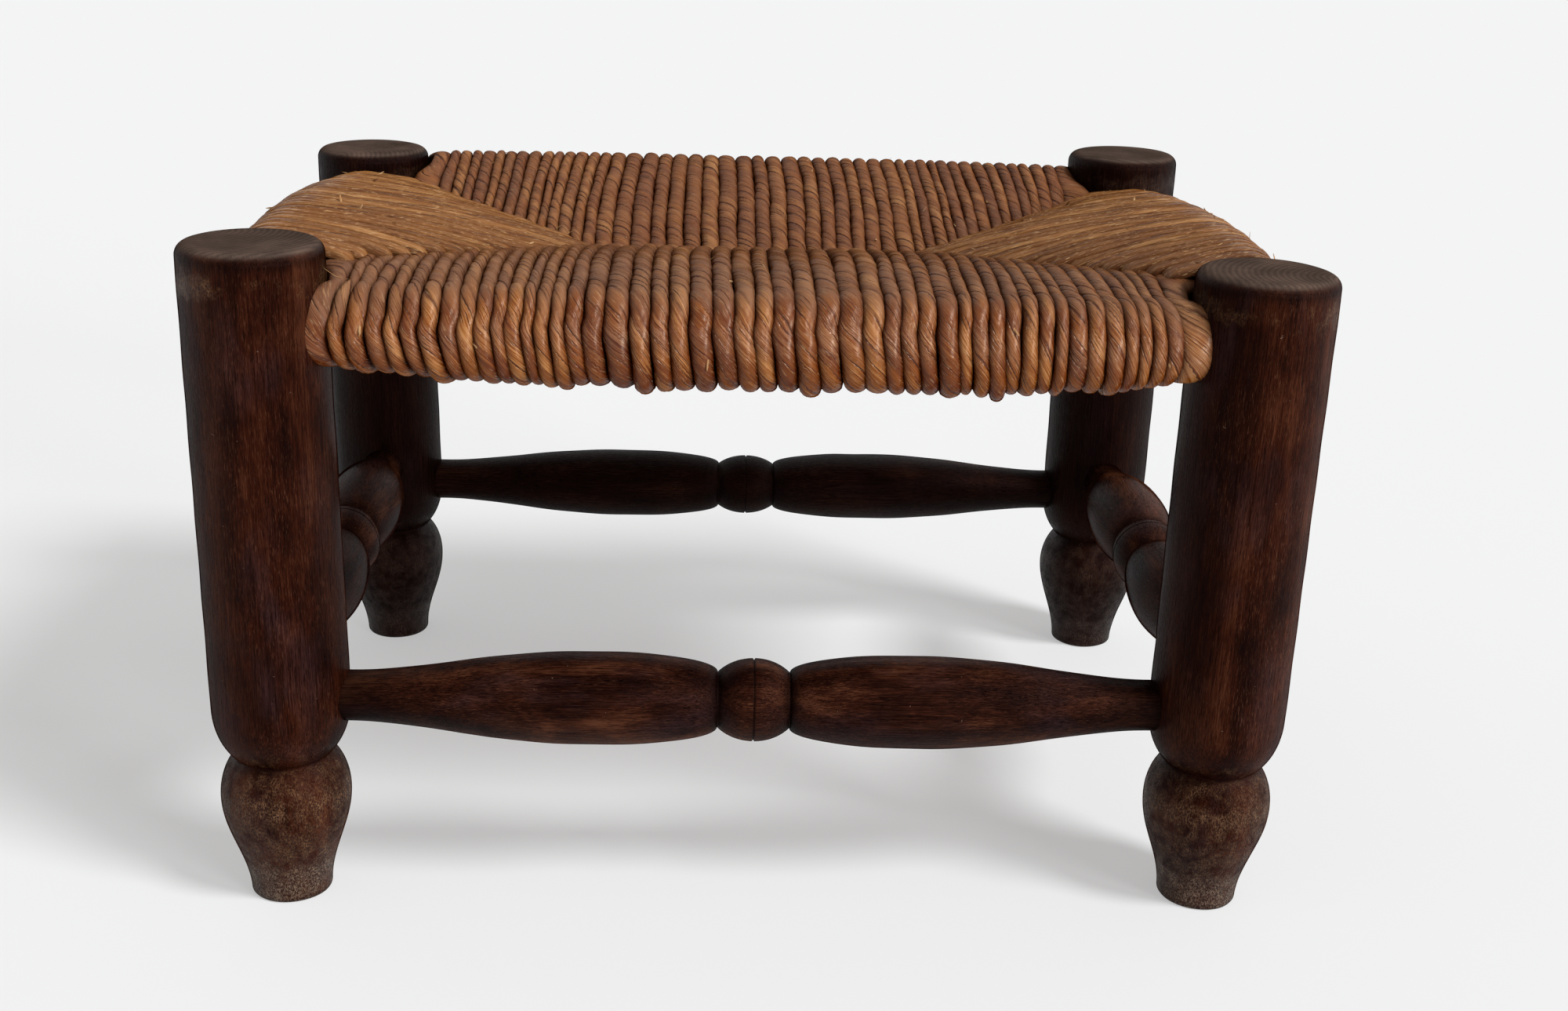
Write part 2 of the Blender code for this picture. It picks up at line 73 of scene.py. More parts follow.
def shade(tree, kind, inputs=(), **settings):
    """Add one shader node. inputs gives, by input name or place, a value or the socket that feeds it."""
    node = tree.nodes.new("ShaderNode" + kind)
    for key, value in settings.items():
        setattr(node, key, value)
    for key, value in dict(inputs).items():
        if isinstance(value, bpy.types.NodeSocket):
            tree.links.new(value, node.inputs[key])
        else:
            node.inputs[key].default_value = value
    return node


def calc(tree, operation, first, second=0.0, third=0.0):
    return shade(tree, "Math", {0: first, 1: second, 2: third}, operation=operation).outputs[0]


def new_finish(name):
    """An empty material, its nodes and its main shader node."""
    material = bpy.data.materials.new(name)
    material.use_nodes = True
    return material, material.node_tree, material.node_tree.nodes["Principled BSDF"]


def seen(tree):
    """1 for the rays that show a thing, by sight, gloss or glass, and 0 for the rays that light it."""
    ray = shade(tree, "LightPath").outputs
    shown = calc(tree, "MAXIMUM", ray["Is Camera Ray"], ray["Is Glossy Ray"])
    return calc(tree, "MAXIMUM", shown, ray["Is Transmission Ray"])


def mix_to_output(tree, output, share, first, second):
    """Mix two shaders by share and lead them to the output."""
    mix = shade(tree, "MixShader", {0: share, 1: first.outputs[0], 2: second.outputs[0]})
    tree.links.new(mix.outputs[0], tree.nodes[output].inputs["Surface"])


camera_data = bpy.data.cameras.new("camera")
camera_data.sensor_width = SENSOR_WIDTH_MM
camera_data.sensor_fit = "HORIZONTAL"
camera_data.lens = FOCAL_LENGTH_PIXELS / PHOTO_WIDTH * SENSOR_WIDTH_MM
camera_data.clip_start = NEAREST_SEEN
camera = placed("camera", camera_data)
camera.matrix_world = (Matrix.Translation(CAMERA_PLACE) @ Matrix.Rotation(CAMERA_TURN, 4, "Z")
                       @ Matrix.Rotation(math.pi / 2 + CAMERA_TIP, 4, "X")
                       @ Matrix.Rotation(CAMERA_LEAN, 4, "Z"))
bpy.context.scene.camera = camera
bpy.context.scene.view_settings.view_transform = "Standard"

floor_corners = [(x * FLOOR_SIDE / 2, y * FLOOR_SIDE / 2, 0) for x, y in ((-1, -1), (1, -1), (1, 1), (-1, 1))]
floor_mesh = bpy.data.meshes.new("floor")
floor_mesh.from_pydata(floor_corners, [], [(0, 1, 2, 3)])
floor = placed("floor", floor_mesh)
floor_finish, floor_tree, floor_shader = new_finish("pale_floor")
floor_shader.inputs["Base Color"].default_value = FLOOR_COLOUR
floor_shader.inputs["Roughness"].default_value = 1.0
floor_shader.inputs["Specular IOR Level"].default_value = 0.0
floor_glow = shade(floor_tree, "Emission", {"Color": FLOOR_GLOW, "Strength": 1.0})
glow_share = calc(floor_tree, "MULTIPLY", seen(floor_tree), FLOOR_GLOW_SHARE)
mix_to_output(floor_tree, "Material Output", glow_share, floor_shader, floor_glow)
floor_finish.cycles.emission_sampling = "NONE"
floor_mesh.materials.append(floor_finish)

sky = bpy.data.worlds.new("studio")
sky.use_nodes = True
sky_light = sky.node_tree.nodes["Background"]
sky_light.inputs["Color"].default_value = SKY_COLOUR
sky_light.inputs["Strength"].default_value = SKY_STRENGTH
backdrop = shade(sky.node_tree, "Background", {"Color": BACKDROP_COLOUR, "Strength": 1.0})
mix_to_output(sky.node_tree, "World Output", seen(sky.node_tree), sky_light, backdrop)
bpy.context.scene.world = sky

for window_name, strength, comes_from in WINDOWS:
    window_lamp = bpy.data.lights.new(window_name, "SUN")
    window_lamp.energy = strength
    window_lamp.angle = WINDOW_WIDTH
    window_lamp.color = WINDOW_COLOUR
    window = placed(window_name, window_lamp)
    window.rotation_mode = "QUATERNION"
    window.rotation_quaternion = Vector(comes_from).to_track_quat("Z", "Y")


# The four legs: straight posts turned from dark stained hardwood and waxed, with a rounded flat top, a neck,
# a bulb and a tapered foot. The tops show grey end grain and the stain is worn off the feet. The ends of two
# rails and two stretchers are let into each leg; the back left one leans out a little.
LEG_SPACING_X = 0.350
LEG_SPACING_Y = 0.2474
LEG_HEIGHT = 0.246
BACK_LEFT_LEG_LEAN = -0.0095
LEG_RADIUS = 0.025
LEG_TOP_ROUND = 0.0045
SHAFT_ROUND_HEIGHT = 0.020
NECK_RADIUS = 0.0175
NECK_SWEEP = math.radians(55)
BULB_RISE = 0.0165
BULB_RADIUS = 0.0237
FOOT_HEIGHT = 0.041
FOOT_RADIUS = 0.0148
FOOT_EDGE_ROUND = 0.0012
NECK_HEIGHT = FOOT_HEIGHT + BULB_RISE
LEG_SEGMENTS = 96
LEG_SEED = 11
# Each leg's name, its sides of the stool, what its length adds to LEG_HEIGHT, and its pith in centimetres.
LEGS = [("leg_front_left", -1, -1, 0.0036, (1.9, -1.4, 0)),
        ("leg_front_right", 1, -1, 0.0009, (-2.6, 1.1, 0)),
        ("leg_back_left", -1, 1, -0.0028, (1.2, 2.3, 0)),
        ("leg_back_right", 1, 1, 0.0027, (-1.6, -2.1, 0))]

TURNING_WOBBLE = 0.00022
WOBBLE_WAVES = [(2, 9, 1.0), (3, -14, 0.6), (5, 31, 0.5), (0, 220, 0.3)]
DENT_DEPTH = 0.00045
DENT_LENGTHS = (0.002, 0.007)
DENT_WIDTHS = (0.0015, 0.0035)
DENTS_PER_PIECE = 9
DENT_TO_END = 0.01
CENTIMETRES = 100.0
LEG_GRAIN_STEP = 31.0
WORN_FOOT_HEIGHT = 0.024
WORN_BULB_HEIGHT = 0.043

STAIN_SHADES = [(0.0, (0.0030, 0.0006, 0.0004, 1)), (0.32, (0.0102, 0.0018, 0.0007, 1)),
                (0.62, (0.026, 0.0056, 0.0021, 1)), (1.0, (0.066, 0.0192, 0.0082, 1))]
LIGHT_FLECK = (0.105, 0.042, 0.022, 1)
NICKED_WOOD = (0.25, 0.16, 0.115, 1)
WORN_WOOD = (0.165, 0.075, 0.025, 1)
# Grey of dust on the feet, also used on the bulbs as a painted highlight.
DUST_AND_HIGHLIGHT_WOOD = (0.190, 0.130, 0.088, 1)
WORN_WOOD_DARK = (0.0062, 0.0018, 0.0011, 1)
END_GRAIN_SHADES = [(0.30, (0.030, 0.019, 0.014, 1)), (0.52, (0.078, 0.054, 0.043, 1)),
                    (0.74, (0.165, 0.105, 0.076, 1))]
# Near black, for the pores and for painted shade and darker hollows.
DARK_PORES_AND_SHADE = (0.0014, 0.0005, 0.0005, 1)
WAX_SHEEN = (1.0, 0.50, 0.42, 1)
WAX_BLOOM = (0.034, 0.0165, 0.0175, 1)


def eased(share):
    """A soft S curve that falls from 1 at share 0 to 0 at share 1."""
    return 0.5 + 0.5 * np.cos(np.pi * np.clip(share, 0, 1))


def between(first, last, share):
    return first + (last - first) * share


def ramp(value, zero_at, one_at):
    """0 at zero_at and 1 at one_at, a straight line between them and level beyond."""
    return np.clip((value - zero_at) / (one_at - zero_at), 0, 1)


def band(value, middle, width):
    """1 at the middle, fading to nearly 0 two widths away."""
    return np.exp(-((value - middle) / width) ** 2)


def rounded(start_radius, start_height, end_radius, end_height, steps):
    """(height, radius) along an arc that leaves the start upright and reaches the neck at a slope."""
    angle = np.linspace(0, NECK_SWEEP, steps)
    radius = start_radius + (end_radius - start_radius) * (1 - np.cos(angle)) / (1 - math.cos(NECK_SWEEP))
    height = start_height + (end_height - start_height) * np.sin(angle) / math.sin(NECK_SWEEP)
    return list(zip(height, radius))


def leg_profile(leg_height):
    """(height, radius) down the leg's outline, from the middle of its top to the middle of its foot."""
    outline = [(leg_height, r) for r in np.linspace(0, LEG_RADIUS - LEG_TOP_ROUND, 14)[:-1]]
    for angle in np.linspace(0, np.pi / 2, 9):
        outline.append((leg_height - LEG_TOP_ROUND * (1 - np.cos(angle)),
                        LEG_RADIUS - LEG_TOP_ROUND * (1 - np.sin(angle))))
    shaft_foot = NECK_HEIGHT + SHAFT_ROUND_HEIGHT
    for height in np.linspace(leg_height - LEG_TOP_ROUND, shaft_foot, 76)[1:-1]:
        outline.append((height, LEG_RADIUS))
    outline += rounded(LEG_RADIUS, shaft_foot, NECK_RADIUS, NECK_HEIGHT, 18)[:-1]
    outline += rounded(BULB_RADIUS, FOOT_HEIGHT, NECK_RADIUS, NECK_HEIGHT, 18)[::-1]
    for share in np.linspace(0, 1, 40)[1:]:
        height = between(FOOT_EDGE_ROUND, FOOT_HEIGHT, 1 - share)
        outline.append((height, between(FOOT_RADIUS, BULB_RADIUS, eased(1 - height / FOOT_HEIGHT))))
    foot_edge = outline[-1][1]
    for angle in np.linspace(0, np.pi / 2, 5)[1:]:
        radius = foot_edge - FOOT_EDGE_ROUND * (1 - np.cos(angle))
        outline.append((FOOT_EDGE_ROUND * (1 - np.sin(angle)), radius))
    for radius in np.linspace(foot_edge - FOOT_EDGE_ROUND, 0, 9)[1:]:
        outline.append((0.0, radius))
    return np.array(outline)


def ring_faces(rings, sides):
    """The faces of a closed skin of rings of points, whose two end points come last: quads and both caps."""
    ring, side = np.meshgrid(np.arange(rings - 1), np.arange(sides), indexing="ij")
    after = (side + 1) % sides
    this_ring, next_ring = ring * sides, (ring + 1) * sides
    quads = np.stack([this_ring + side, this_ring + after, next_ring + after, next_ring + side], -1)
    one, two = side[0], after[0]
    tip, last_ring = np.full(sides, rings * sides), (rings - 1) * sides
    return (quads.reshape(-1, 4), np.column_stack([tip, two, one]),
            np.column_stack([tip + 1, last_ring + one, last_ring + two]))


def turned_mesh(name, outline, segments, seed):
    """A solid turned on its own Z axis, with the slight wobble and dents of hand work."""
    rng = np.random.default_rng(seed)
    rings = outline[1:-1]
    height = np.repeat(rings[:, 0], segments)
    radius = np.repeat(rings[:, 1], segments)
    angle = np.tile(np.linspace(0, 2 * np.pi, segments, endpoint=False), len(rings))
    phases = rng.uniform(0, 2 * np.pi, len(WOBBLE_WAVES))
    wobble = sum(share * np.sin(turns * angle + phase + rise * height)
                 for (turns, rise, share), phase in zip(WOBBLE_WAVES, phases))
    full = radius / outline[:, 1].max()
    radius = radius + TURNING_WOBBLE * wobble * full
    low, high = outline[:, 0].min(), outline[:, 0].max()
    for _ in range(DENTS_PER_PIECE):
        spot, spot_turn = rng.uniform(low + DENT_TO_END, high - DENT_TO_END), rng.uniform(0, 2 * np.pi)
        long_way, wide = rng.uniform(*DENT_LENGTHS), rng.uniform(*DENT_WIDTHS)
        across = np.angle(np.exp(1j * (angle - spot_turn))) * radius
        hollow = np.exp(-((height - spot) / long_way) ** 2 - (across / wide) ** 2)
        radius = radius - DENT_DEPTH * rng.uniform(0.3, 1.0) * hollow * full
    points = np.column_stack([radius * np.cos(angle), radius * np.sin(angle), height])
    points = np.vstack([points, [(0, 0, outline[0, 0]), (0, 0, outline[-1, 0])]])
    quads, top_cap, foot_cap = ring_faces(len(rings), segments)
    caps = np.stack([top_cap, foot_cap], 1).reshape(-1, 3)
    faces = quads[:, [0, 3, 2, 1]].tolist() + caps[:, [0, 2, 1]].tolist()
    mesh = bpy.data.meshes.new(name)
    mesh.from_pydata(points.tolist(), [], faces)
    mesh.shade_smooth()
    return mesh


def store(mesh, **kept):
    """Keep named values or vectors, one for each of the mesh's points, for its finish to read."""
    for name, values in kept.items():
        kind, field = ("FLOAT_VECTOR", "vector") if np.ndim(values) == 2 else ("FLOAT", "value")
        layer = mesh.attributes.new(name, kind, "POINT")
        layer.data.foreach_set(field, np.ravel(values).astype(np.float32))


def points_of(mesh):
    flat = np.zeros(len(mesh.vertices) * 3, np.float32)
    mesh.vertices.foreach_get("co", flat)
    return flat.reshape(-1, 3).astype(float)


def front_side(at, out):
    """1 on the side of a turned piece that faces the front of the stool, fading to 0 behind."""
    return ramp(at[:, 1] / np.maximum(out, 0.001), 0.75, 0.15)


class Finish:
    """A material in the making. Most calls add nodes and return the socket that carries their result.

    place is the vector that its noise follows.
    """

    def __init__(self, name):
        self.material, self.tree, self.shader = new_finish(name)
        self.place = None

    def add(self, kind, inputs=(), output=0, **settings):
        return shade(self.tree, kind, inputs, **settings).outputs[output]

    def calc(self, operation, first, second=0.0, third=0.0):
        return calc(self.tree, operation, first, second, third)

    def times(self, first, second):
        return self.calc("MULTIPLY", first, second)

    def total(self, *parts):
        """The sum of parts, each a value and its weight."""
        total = self.times(*parts[0])
        for value, weight in parts[1:]:
            total = self.calc("MULTIPLY_ADD", value, weight, total)
        return total

    def kept(self, *names):
        """The values that store() kept on the mesh."""
        return [self.add("Attribute", output="Fac", attribute_name=name) for name in names]

    def span(self, value, low, high, to_low=0.0, to_high=1.0):
        """value's place between low and high, held to that range and moved to to_low and to_high."""
        limits = {"From Min": low, "From Max": high, "To Min": to_low, "To Max": to_high}
        return self.add("MapRange", {"Value": value} | limits, "Result")

    def noise(self, stretch, detail=3.0, roughness=0.55):
        """Noise whose grains are 1 / stretch long in each direction of place."""
        place = self.add("VectorMath", {0: self.place, 1: stretch}, operation="MULTIPLY")
        grains = {"Scale": 1.0, "Detail": detail, "Roughness": roughness}
        return self.add("TexNoise", {"Vector": place} | grains, "Fac")

    def colours(self, value, stops):
        """A colour ramp through stops, each a place from 0 to 1 and a colour."""
        ramp_node = shade(self.tree, "ValToRGB", {"Fac": value})
        elements = ramp_node.color_ramp.elements
        while len(elements) < len(stops):
            elements.new(0.5)
        for element, (place, colour) in zip(elements, stops):
            element.position = place
            element.color = colour
        return ramp_node.outputs["Color"]

    def tint(self, under, over, share, strength=None):
        """The colour over laid on the colour under by share, times strength where that is given."""
        if strength is not None:
            share = self.times(share, strength)
        return self.add("Mix", {0: share, 6: under, 7: over}, 2, data_type="RGBA")

    def dress(self, colour, roughness, relief, strength, depth):
        """Lead the colour, the roughness and a bump of the relief to the shader."""
        bump = self.add("Bump", {"Height": relief, "Strength": strength, "Distance": depth}, "Normal")
        for name, socket in {"Base Color": colour, "Roughness": roughness, "Normal": bump}.items():
            self.tree.links.new(socket, self.shader.inputs[name])

    def gleam(self, level, colour, matt=0.0):
        """A tinted gloss that fades at a glancing angle, as on dull wax or fibre, and where matt is 1."""
        facing = self.add("LayerWeight", {"Blend": 0.5}, "Facing")
        gloss = self.times(self.span(facing, 0.30, 0.85, level, 0.0), self.calc("SUBTRACT", 1.0, matt))
        self.tree.links.new(gloss, self.shader.inputs["Specular IOR Level"])
        self.shader.inputs["Specular Tint"].default_value = colour


def waxed_wood(name, stain_shades, palest):
    """Dark stained, waxed wood: fine streaks and pores along the piece over broad darker and redder figure,
    tan specks where it is rubbed, a few light nicks, darker hollows, painted shade on the sides in shade,
    a grey that is dust on the feet and a painted highlight on the bulbs, and grey rings on the cut ends."""
    wood = Finish(name)
    wood.place = wood.add("Attribute", output="Vector", attribute_name="grain")
    wear, dusty, grime, end_grain = wood.kept("wear", "dusty", "grime", "end_grain")

    figure = wood.noise((0.9, 0.9, 0.11), 3.0, 0.6)
    clouds = wood.noise((0.5, 0.5, 0.38), 4.0, 0.6)
    streaks = wood.noise((19, 19, 0.55), 4.0, 0.65)
    threads = wood.noise((46, 46, 2.2), 2.0, 0.6)
    tone_parts = [(streaks, 0.55), (threads, 0.28), (figure, 0.70), (clouds, 0.45)]
    full_tone = sum(weight for _, weight in tone_parts)
    tone = wood.span(wood.total(*tone_parts), full_tone - palest, palest)
    colour = wood.colours(tone, stain_shades)

    bloom = wood.span(wood.noise((0.55, 0.55, 0.20), 3.0, 0.6), 0.50, 0.64, 0.0, 0.55)
    colour = wood.tint(colour, WAX_BLOOM, bloom, wood.span(streaks, 0.35, 0.65))
    flecks = wood.span(wood.noise((34, 34, 3.2), 3.0, 0.6), 0.56, 0.70)
    colour = wood.tint(colour, LIGHT_FLECK, flecks, wood.span(clouds, 0.40, 0.62, 0.15, 0.65))
    pores = wood.span(wood.noise((40, 40, 2.4), 1.0), 0.60, 0.70)
    colour = wood.tint(colour, DARK_PORES_AND_SHADE, pores, 0.7)

    specks = wood.span(wood.noise((18, 18, 10), 5.0, 0.8), 0.48, 0.56)
    patches = wood.noise((2.2, 2.2, 1.9), 4.0, 0.65)
    rubbed = wood.span(wood.calc("MULTIPLY_ADD", patches, 1.1, wear), 0.87, 1.36)
    bare = wood.tint(WORN_WOOD_DARK, wood.tint(WORN_WOOD, DUST_AND_HIGHLIGHT_WOOD, dusty), specks)
    colour = wood.tint(colour, bare, rubbed)
    nicks = wood.span(wood.noise((4.0, 4.0, 9.0), 2.0), 0.755, 0.79)
    colour = wood.tint(colour, NICKED_WOOD, nicks, 0.45)

    ring_shape = {"Scale": 1.45, "Distortion": 1.6, "Detail": 2.0, "Detail Scale": 0.6}
    rings = wood.add("TexWave", {"Vector": wood.place} | ring_shape, "Fac", wave_type="RINGS",
                     rings_direction="Z", wave_profile="SIN")
    end_tone = wood.total((threads, 0.45), (rings, 0.09), (clouds, 0.5))
    colour = wood.tint(colour, wood.colours(end_tone, END_GRAIN_SHADES), end_grain)
    # Painted shade and darker hollows: the kept mask turns the wood toward the near-black colour.
    colour = wood.tint(colour, DARK_PORES_AND_SHADE, grime, wood.span(streaks, 0.25, 0.75, 1.0, 0.7))

    polish = wood.total((wood.span(streaks, 0.3, 0.7, 0.24, 0.34), 1.0), (rubbed, -0.05), (end_grain, 0.18))
    relief = wood.total((threads, 0.35), (streaks, 0.55), (pores, -0.5), (nicks, -0.5),
                        (wood.times(specks, rubbed), 0.30))
    relief = wood.times(relief, wood.span(rubbed, 0.0, 1.0, 1.0, 0.45))
    wood.dress(colour, polish, relief, strength=0.75, depth=0.0005)
    wood.gleam(wood.calc("MULTIPLY_ADD", rubbed, 0.17, 0.045), WAX_SHEEN, end_grain)
    return wood.material


leg_finish = waxed_wood("waxed_leg_wood", STAIN_SHADES, palest=1.22)
for place, (leg_name, side_x, side_y, extra, pith) in enumerate(LEGS):
    leg_height = LEG_HEIGHT + extra
    leg_mesh = turned_mesh(leg_name + "_turned", leg_profile(leg_height), LEG_SEGMENTS, LEG_SEED + place)
    at = points_of(leg_mesh)
    height, out = at[:, 2], np.hypot(at[:, 0], at[:, 1])
    on_top = ramp(height, leg_height - 0.0022, leg_height - 0.0008)
    foot_wear = 0.60 * ramp(height, WORN_FOOT_HEIGHT, WORN_FOOT_HEIGHT - 0.010)
    bulb_wear = 0.54 * band(height, WORN_BULB_HEIGHT, 0.011)
    neck_wear = 0.34 * band(height, NECK_HEIGHT + 0.004, 0.006)
    round_leg = np.sin(2 * np.arctan2(at[:, 1], at[:, 0]) + 1.1 * place + 0.6)
    rim_wear = (0.44 + 0.18 * round_leg) * band(height, leg_height - 0.012, 0.007)
    all_over = np.where(height < NECK_HEIGHT, 0.43, 0.10)
    wear = np.maximum.reduce([foot_wear, bulb_wear, neck_wear, rim_wear, all_over])
    foot_dust = ramp(height, WORN_FOOT_HEIGHT, WORN_FOOT_HEIGHT - 0.012)
    # Darker at the neck, at the bottom of the foot and in a band on the rounded edge of the top.
    neck_grime = 0.45 * band(height, NECK_HEIGHT, 0.0022)
    floor_grime = 0.6 * band(height, 0.0, 0.002)
    rim_grime = 0.75 * band(height, leg_height - 0.0038, 0.0022)
    # Painted shade: the back legs are darkened on the side that faces the front of the stool, and the front
    # legs on the upper part of their inner sides.
    if side_y > 0:
        painted_side_shade = 0.96 * front_side(at, out)
    else:
        inner_side = np.clip(-side_x * at[:, 0] / np.maximum(out, 0.001), 0, 1)
        painted_side_shade = 0.45 * inner_side ** 1.5 * (height > NECK_HEIGHT)
    grime = np.maximum.reduce([neck_grime, floor_grime, rim_grime, painted_side_shade])
    # The grey of the feet is dust; on the bulb the same grey, at half its wear, is a painted highlight.
    store(leg_mesh, grain=at * CENTIMETRES + pith + (0, 0, LEG_GRAIN_STEP * place), end_grain=on_top,
          wear=wear * (1 - on_top), dusty=np.maximum(foot_dust, 0.5 * bulb_wear), grime=grime * (1 - on_top))
    leg_place = Matrix.Translation((side_x * LEG_SPACING_X / 2, side_y * LEG_SPACING_Y / 2, 0))
    if leg_name == "leg_back_left":
        leg_place[0][2] = BACK_LEFT_LEG_LEAN
    leg_mesh.transform(leg_place)
    leg_mesh.materials.append(leg_finish)
    leg = placed(leg_name + "_turned", leg_mesh)
    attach(leg, "root")
    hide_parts(leg_name)


# The four stretchers: turned from the same wood, two long bellies with a ball between them. Their thin round
# ends are glued into the legs, the side pair above the long pair. A line is scored round each ball's middle.
LONG_STRETCHER_HEIGHT = 0.080
SHORT_STRETCHER_HEIGHT = 0.0927
STRETCHER_END_RADIUS = 0.0095
BELLY_RADIUS = 0.0175
BACK_BELLY_RADIUS = 0.0163
BALL_RADIUS = 0.0157
BACK_BALL_RADIUS = 0.0146
BALL_HALF_LENGTH = 0.0135
GROOVE_RADIUS = 0.0104
LONG_BELLY_OFFSET = 0.0435
SHORT_BELLY_OFFSET = 0.030
TAPER_FULLNESS = 1.2
TENON_SUNK = 0.013
SCORE_DEPTH = 0.0007
SCORE_HALF_WIDTH = 0.0005
STRETCHER_SEGMENTS = 72
STRETCHER_SEED = 41
STRETCHER_GRAIN_START = 200
STRETCHER_GRAIN_STEP = 37.0
END_DARKENING_LENGTH = 0.030
STRETCHER_SHADES = [(0.0, (0.0022, 0.0004, 0.0003, 1)), (0.32, (0.0078, 0.0015, 0.0008, 1)),
                    (0.62, (0.023, 0.0058, 0.0026, 1)), (1.0, (0.078, 0.0260, 0.0120, 1))]


def stretcher_profile(half_length, belly_radius, ball_radius, belly_offset):
    """(along, radius) from one end of a stretcher to the other."""
    leg_face = half_length - LEG_RADIUS
    belly = BALL_HALF_LENGTH + belly_offset
    ball_reach = BALL_HALF_LENGTH / math.sqrt(1 - (GROOVE_RADIUS / ball_radius) ** 2)
    half = [(leg_face + TENON_SUNK, 0.0), (leg_face + TENON_SUNK, STRETCHER_END_RADIUS)]
    for share in np.linspace(1, 0, 60):
        radius = between(STRETCHER_END_RADIUS, belly_radius, eased(share ** TAPER_FULLNESS))
        half.append((between(belly, leg_face, share), radius))
    for angle in np.linspace(0, np.pi / 2, 26)[1:]:
        along = belly - belly_offset * np.sin(angle)
        half.append((along, between(GROOVE_RADIUS, belly_radius, np.cos(angle))))
    for along in np.linspace(BALL_HALF_LENGTH, 0, 22)[1:]:
        score = SCORE_DEPTH * max(0.0, 1 - along / SCORE_HALF_WIDTH)
        half.append((along, ball_radius * math.sqrt(1 - (along / ball_reach) ** 2) - score))
    half.insert(-1, (SCORE_HALF_WIDTH, ball_radius * math.sqrt(1 - (SCORE_HALF_WIDTH / ball_reach) ** 2)))
    return np.array(half + [(-along, radius) for along, radius in half[-2::-1]])


stretcher_finish = waxed_wood("waxed_stretcher_wood", STRETCHER_SHADES, palest=1.19)
half_x, half_y = LEG_SPACING_X / 2, LEG_SPACING_Y / 2
long_front = stretcher_profile(half_x, BELLY_RADIUS, BALL_RADIUS, LONG_BELLY_OFFSET)
long_back = stretcher_profile(half_x, BACK_BELLY_RADIUS, BACK_BALL_RADIUS, LONG_BELLY_OFFSET)
short_side = stretcher_profile(half_y, BELLY_RADIUS, BALL_RADIUS, SHORT_BELLY_OFFSET)
along_x, along_y = Matrix.Rotation(math.pi / 2, 4, "Y"), Matrix.Rotation(-math.pi / 2, 4, "X")
for place, (stretcher_name, outline, turned_to, centre, pith) in enumerate([
        ("stretcher_front", long_front, along_x, (0, -half_y, LONG_STRETCHER_HEIGHT), (1.4, 1.0, 0)),
        ("stretcher_back", long_back, along_x, (0, half_y, LONG_STRETCHER_HEIGHT), (-1.1, 1.7, 0)),
        ("stretcher_left", short_side, along_y, (-half_x, 0, SHORT_STRETCHER_HEIGHT), (1.8, -0.9, 0)),
        ("stretcher_right", short_side, along_y, (half_x, 0, SHORT_STRETCHER_HEIGHT), (-1.5, -1.2, 0))]):
    piece_name = stretcher_name + "_turned"
    stretcher_mesh = turned_mesh(piece_name, outline, STRETCHER_SEGMENTS, STRETCHER_SEED + place)
    at = points_of(stretcher_mesh)
    along, out = np.abs(at[:, 2]), np.hypot(at[:, 0], at[:, 1])
    grain_shift = STRETCHER_GRAIN_START + STRETCHER_GRAIN_STEP * place
    # Darker in the grooves beside the ball, along the scored line and toward the ends in the legs.
    groove_grime = 0.9 * band(along, BALL_HALF_LENGTH, 0.0028)
    score_grime = ramp(along, 1.6 * SCORE_HALF_WIDTH, 0.0)
    leg_face = outline[0, 0] - TENON_SUNK
    end_grime = 0.85 * ramp(along, leg_face - END_DARKENING_LENGTH, leg_face)
    # Painted shade on the back stretcher's front side, which lies in shade under the seat.
    shade_grime = front_side(at, out) * (0.90 if stretcher_name == "stretcher_back" else 0.0)
    grime = np.maximum.reduce([groove_grime, score_grime, end_grime, shade_grime])
    store(stretcher_mesh, grain=at * CENTIMETRES + pith + (0, 0, grain_shift), end_grain=np.zeros(len(at)),
          wear=0.14 * ramp(out, 0.0125, 0.0165), dusty=np.zeros(len(at)), grime=grime)
    stretcher_mesh.transform(Matrix.Translation(centre) @ turned_to)
    stretcher_mesh.materials.append(stretcher_finish)
    stretcher = placed(piece_name, stretcher_mesh)
    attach(stretcher, "root")
    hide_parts(stretcher_name)


# The four seat rails: plain round bars of bare wood between the leg tops, hidden under the rush that is wound
# on them. They keep their own solids and only get a finish of dry, unpolished wood.
BARE_WOOD_SHADES = [(0.2, (0.060, 0.030, 0.016, 1)), (0.8, (0.170, 0.095, 0.052, 1))]


def dry_fibre(name, shades, stretch, detail, raggedness, dullness, strength, depth):
    """A dull finish of dry fibres: stretch gives their grain, dullness the least and the most roughness."""
    dry = Finish(name)
    dry.place = dry.add("TexCoord", output="Object")
    fibre = dry.noise(stretch, detail, raggedness)
    dry.dress(dry.colours(fibre, shades), dry.span(fibre, 0.3, 0.7, *dullness), fibre, strength, depth)
    return dry.material


rail_finish = dry_fibre("bare_rail_wood", BARE_WOOD_SHADES, stretch=(160, 160, 900), detail=4.0,
                        raggedness=0.55, dullness=(0.6, 0.8), strength=0.3, depth=0.0003)
for rail_name in ("seat_rail_front", "seat_rail_back", "seat_rail_left", "seat_rail_right"):
    rail_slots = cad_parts[rail_name].data.materials
    for slot in range(len(rail_slots)):
        rail_slots[slot] = rail_finish


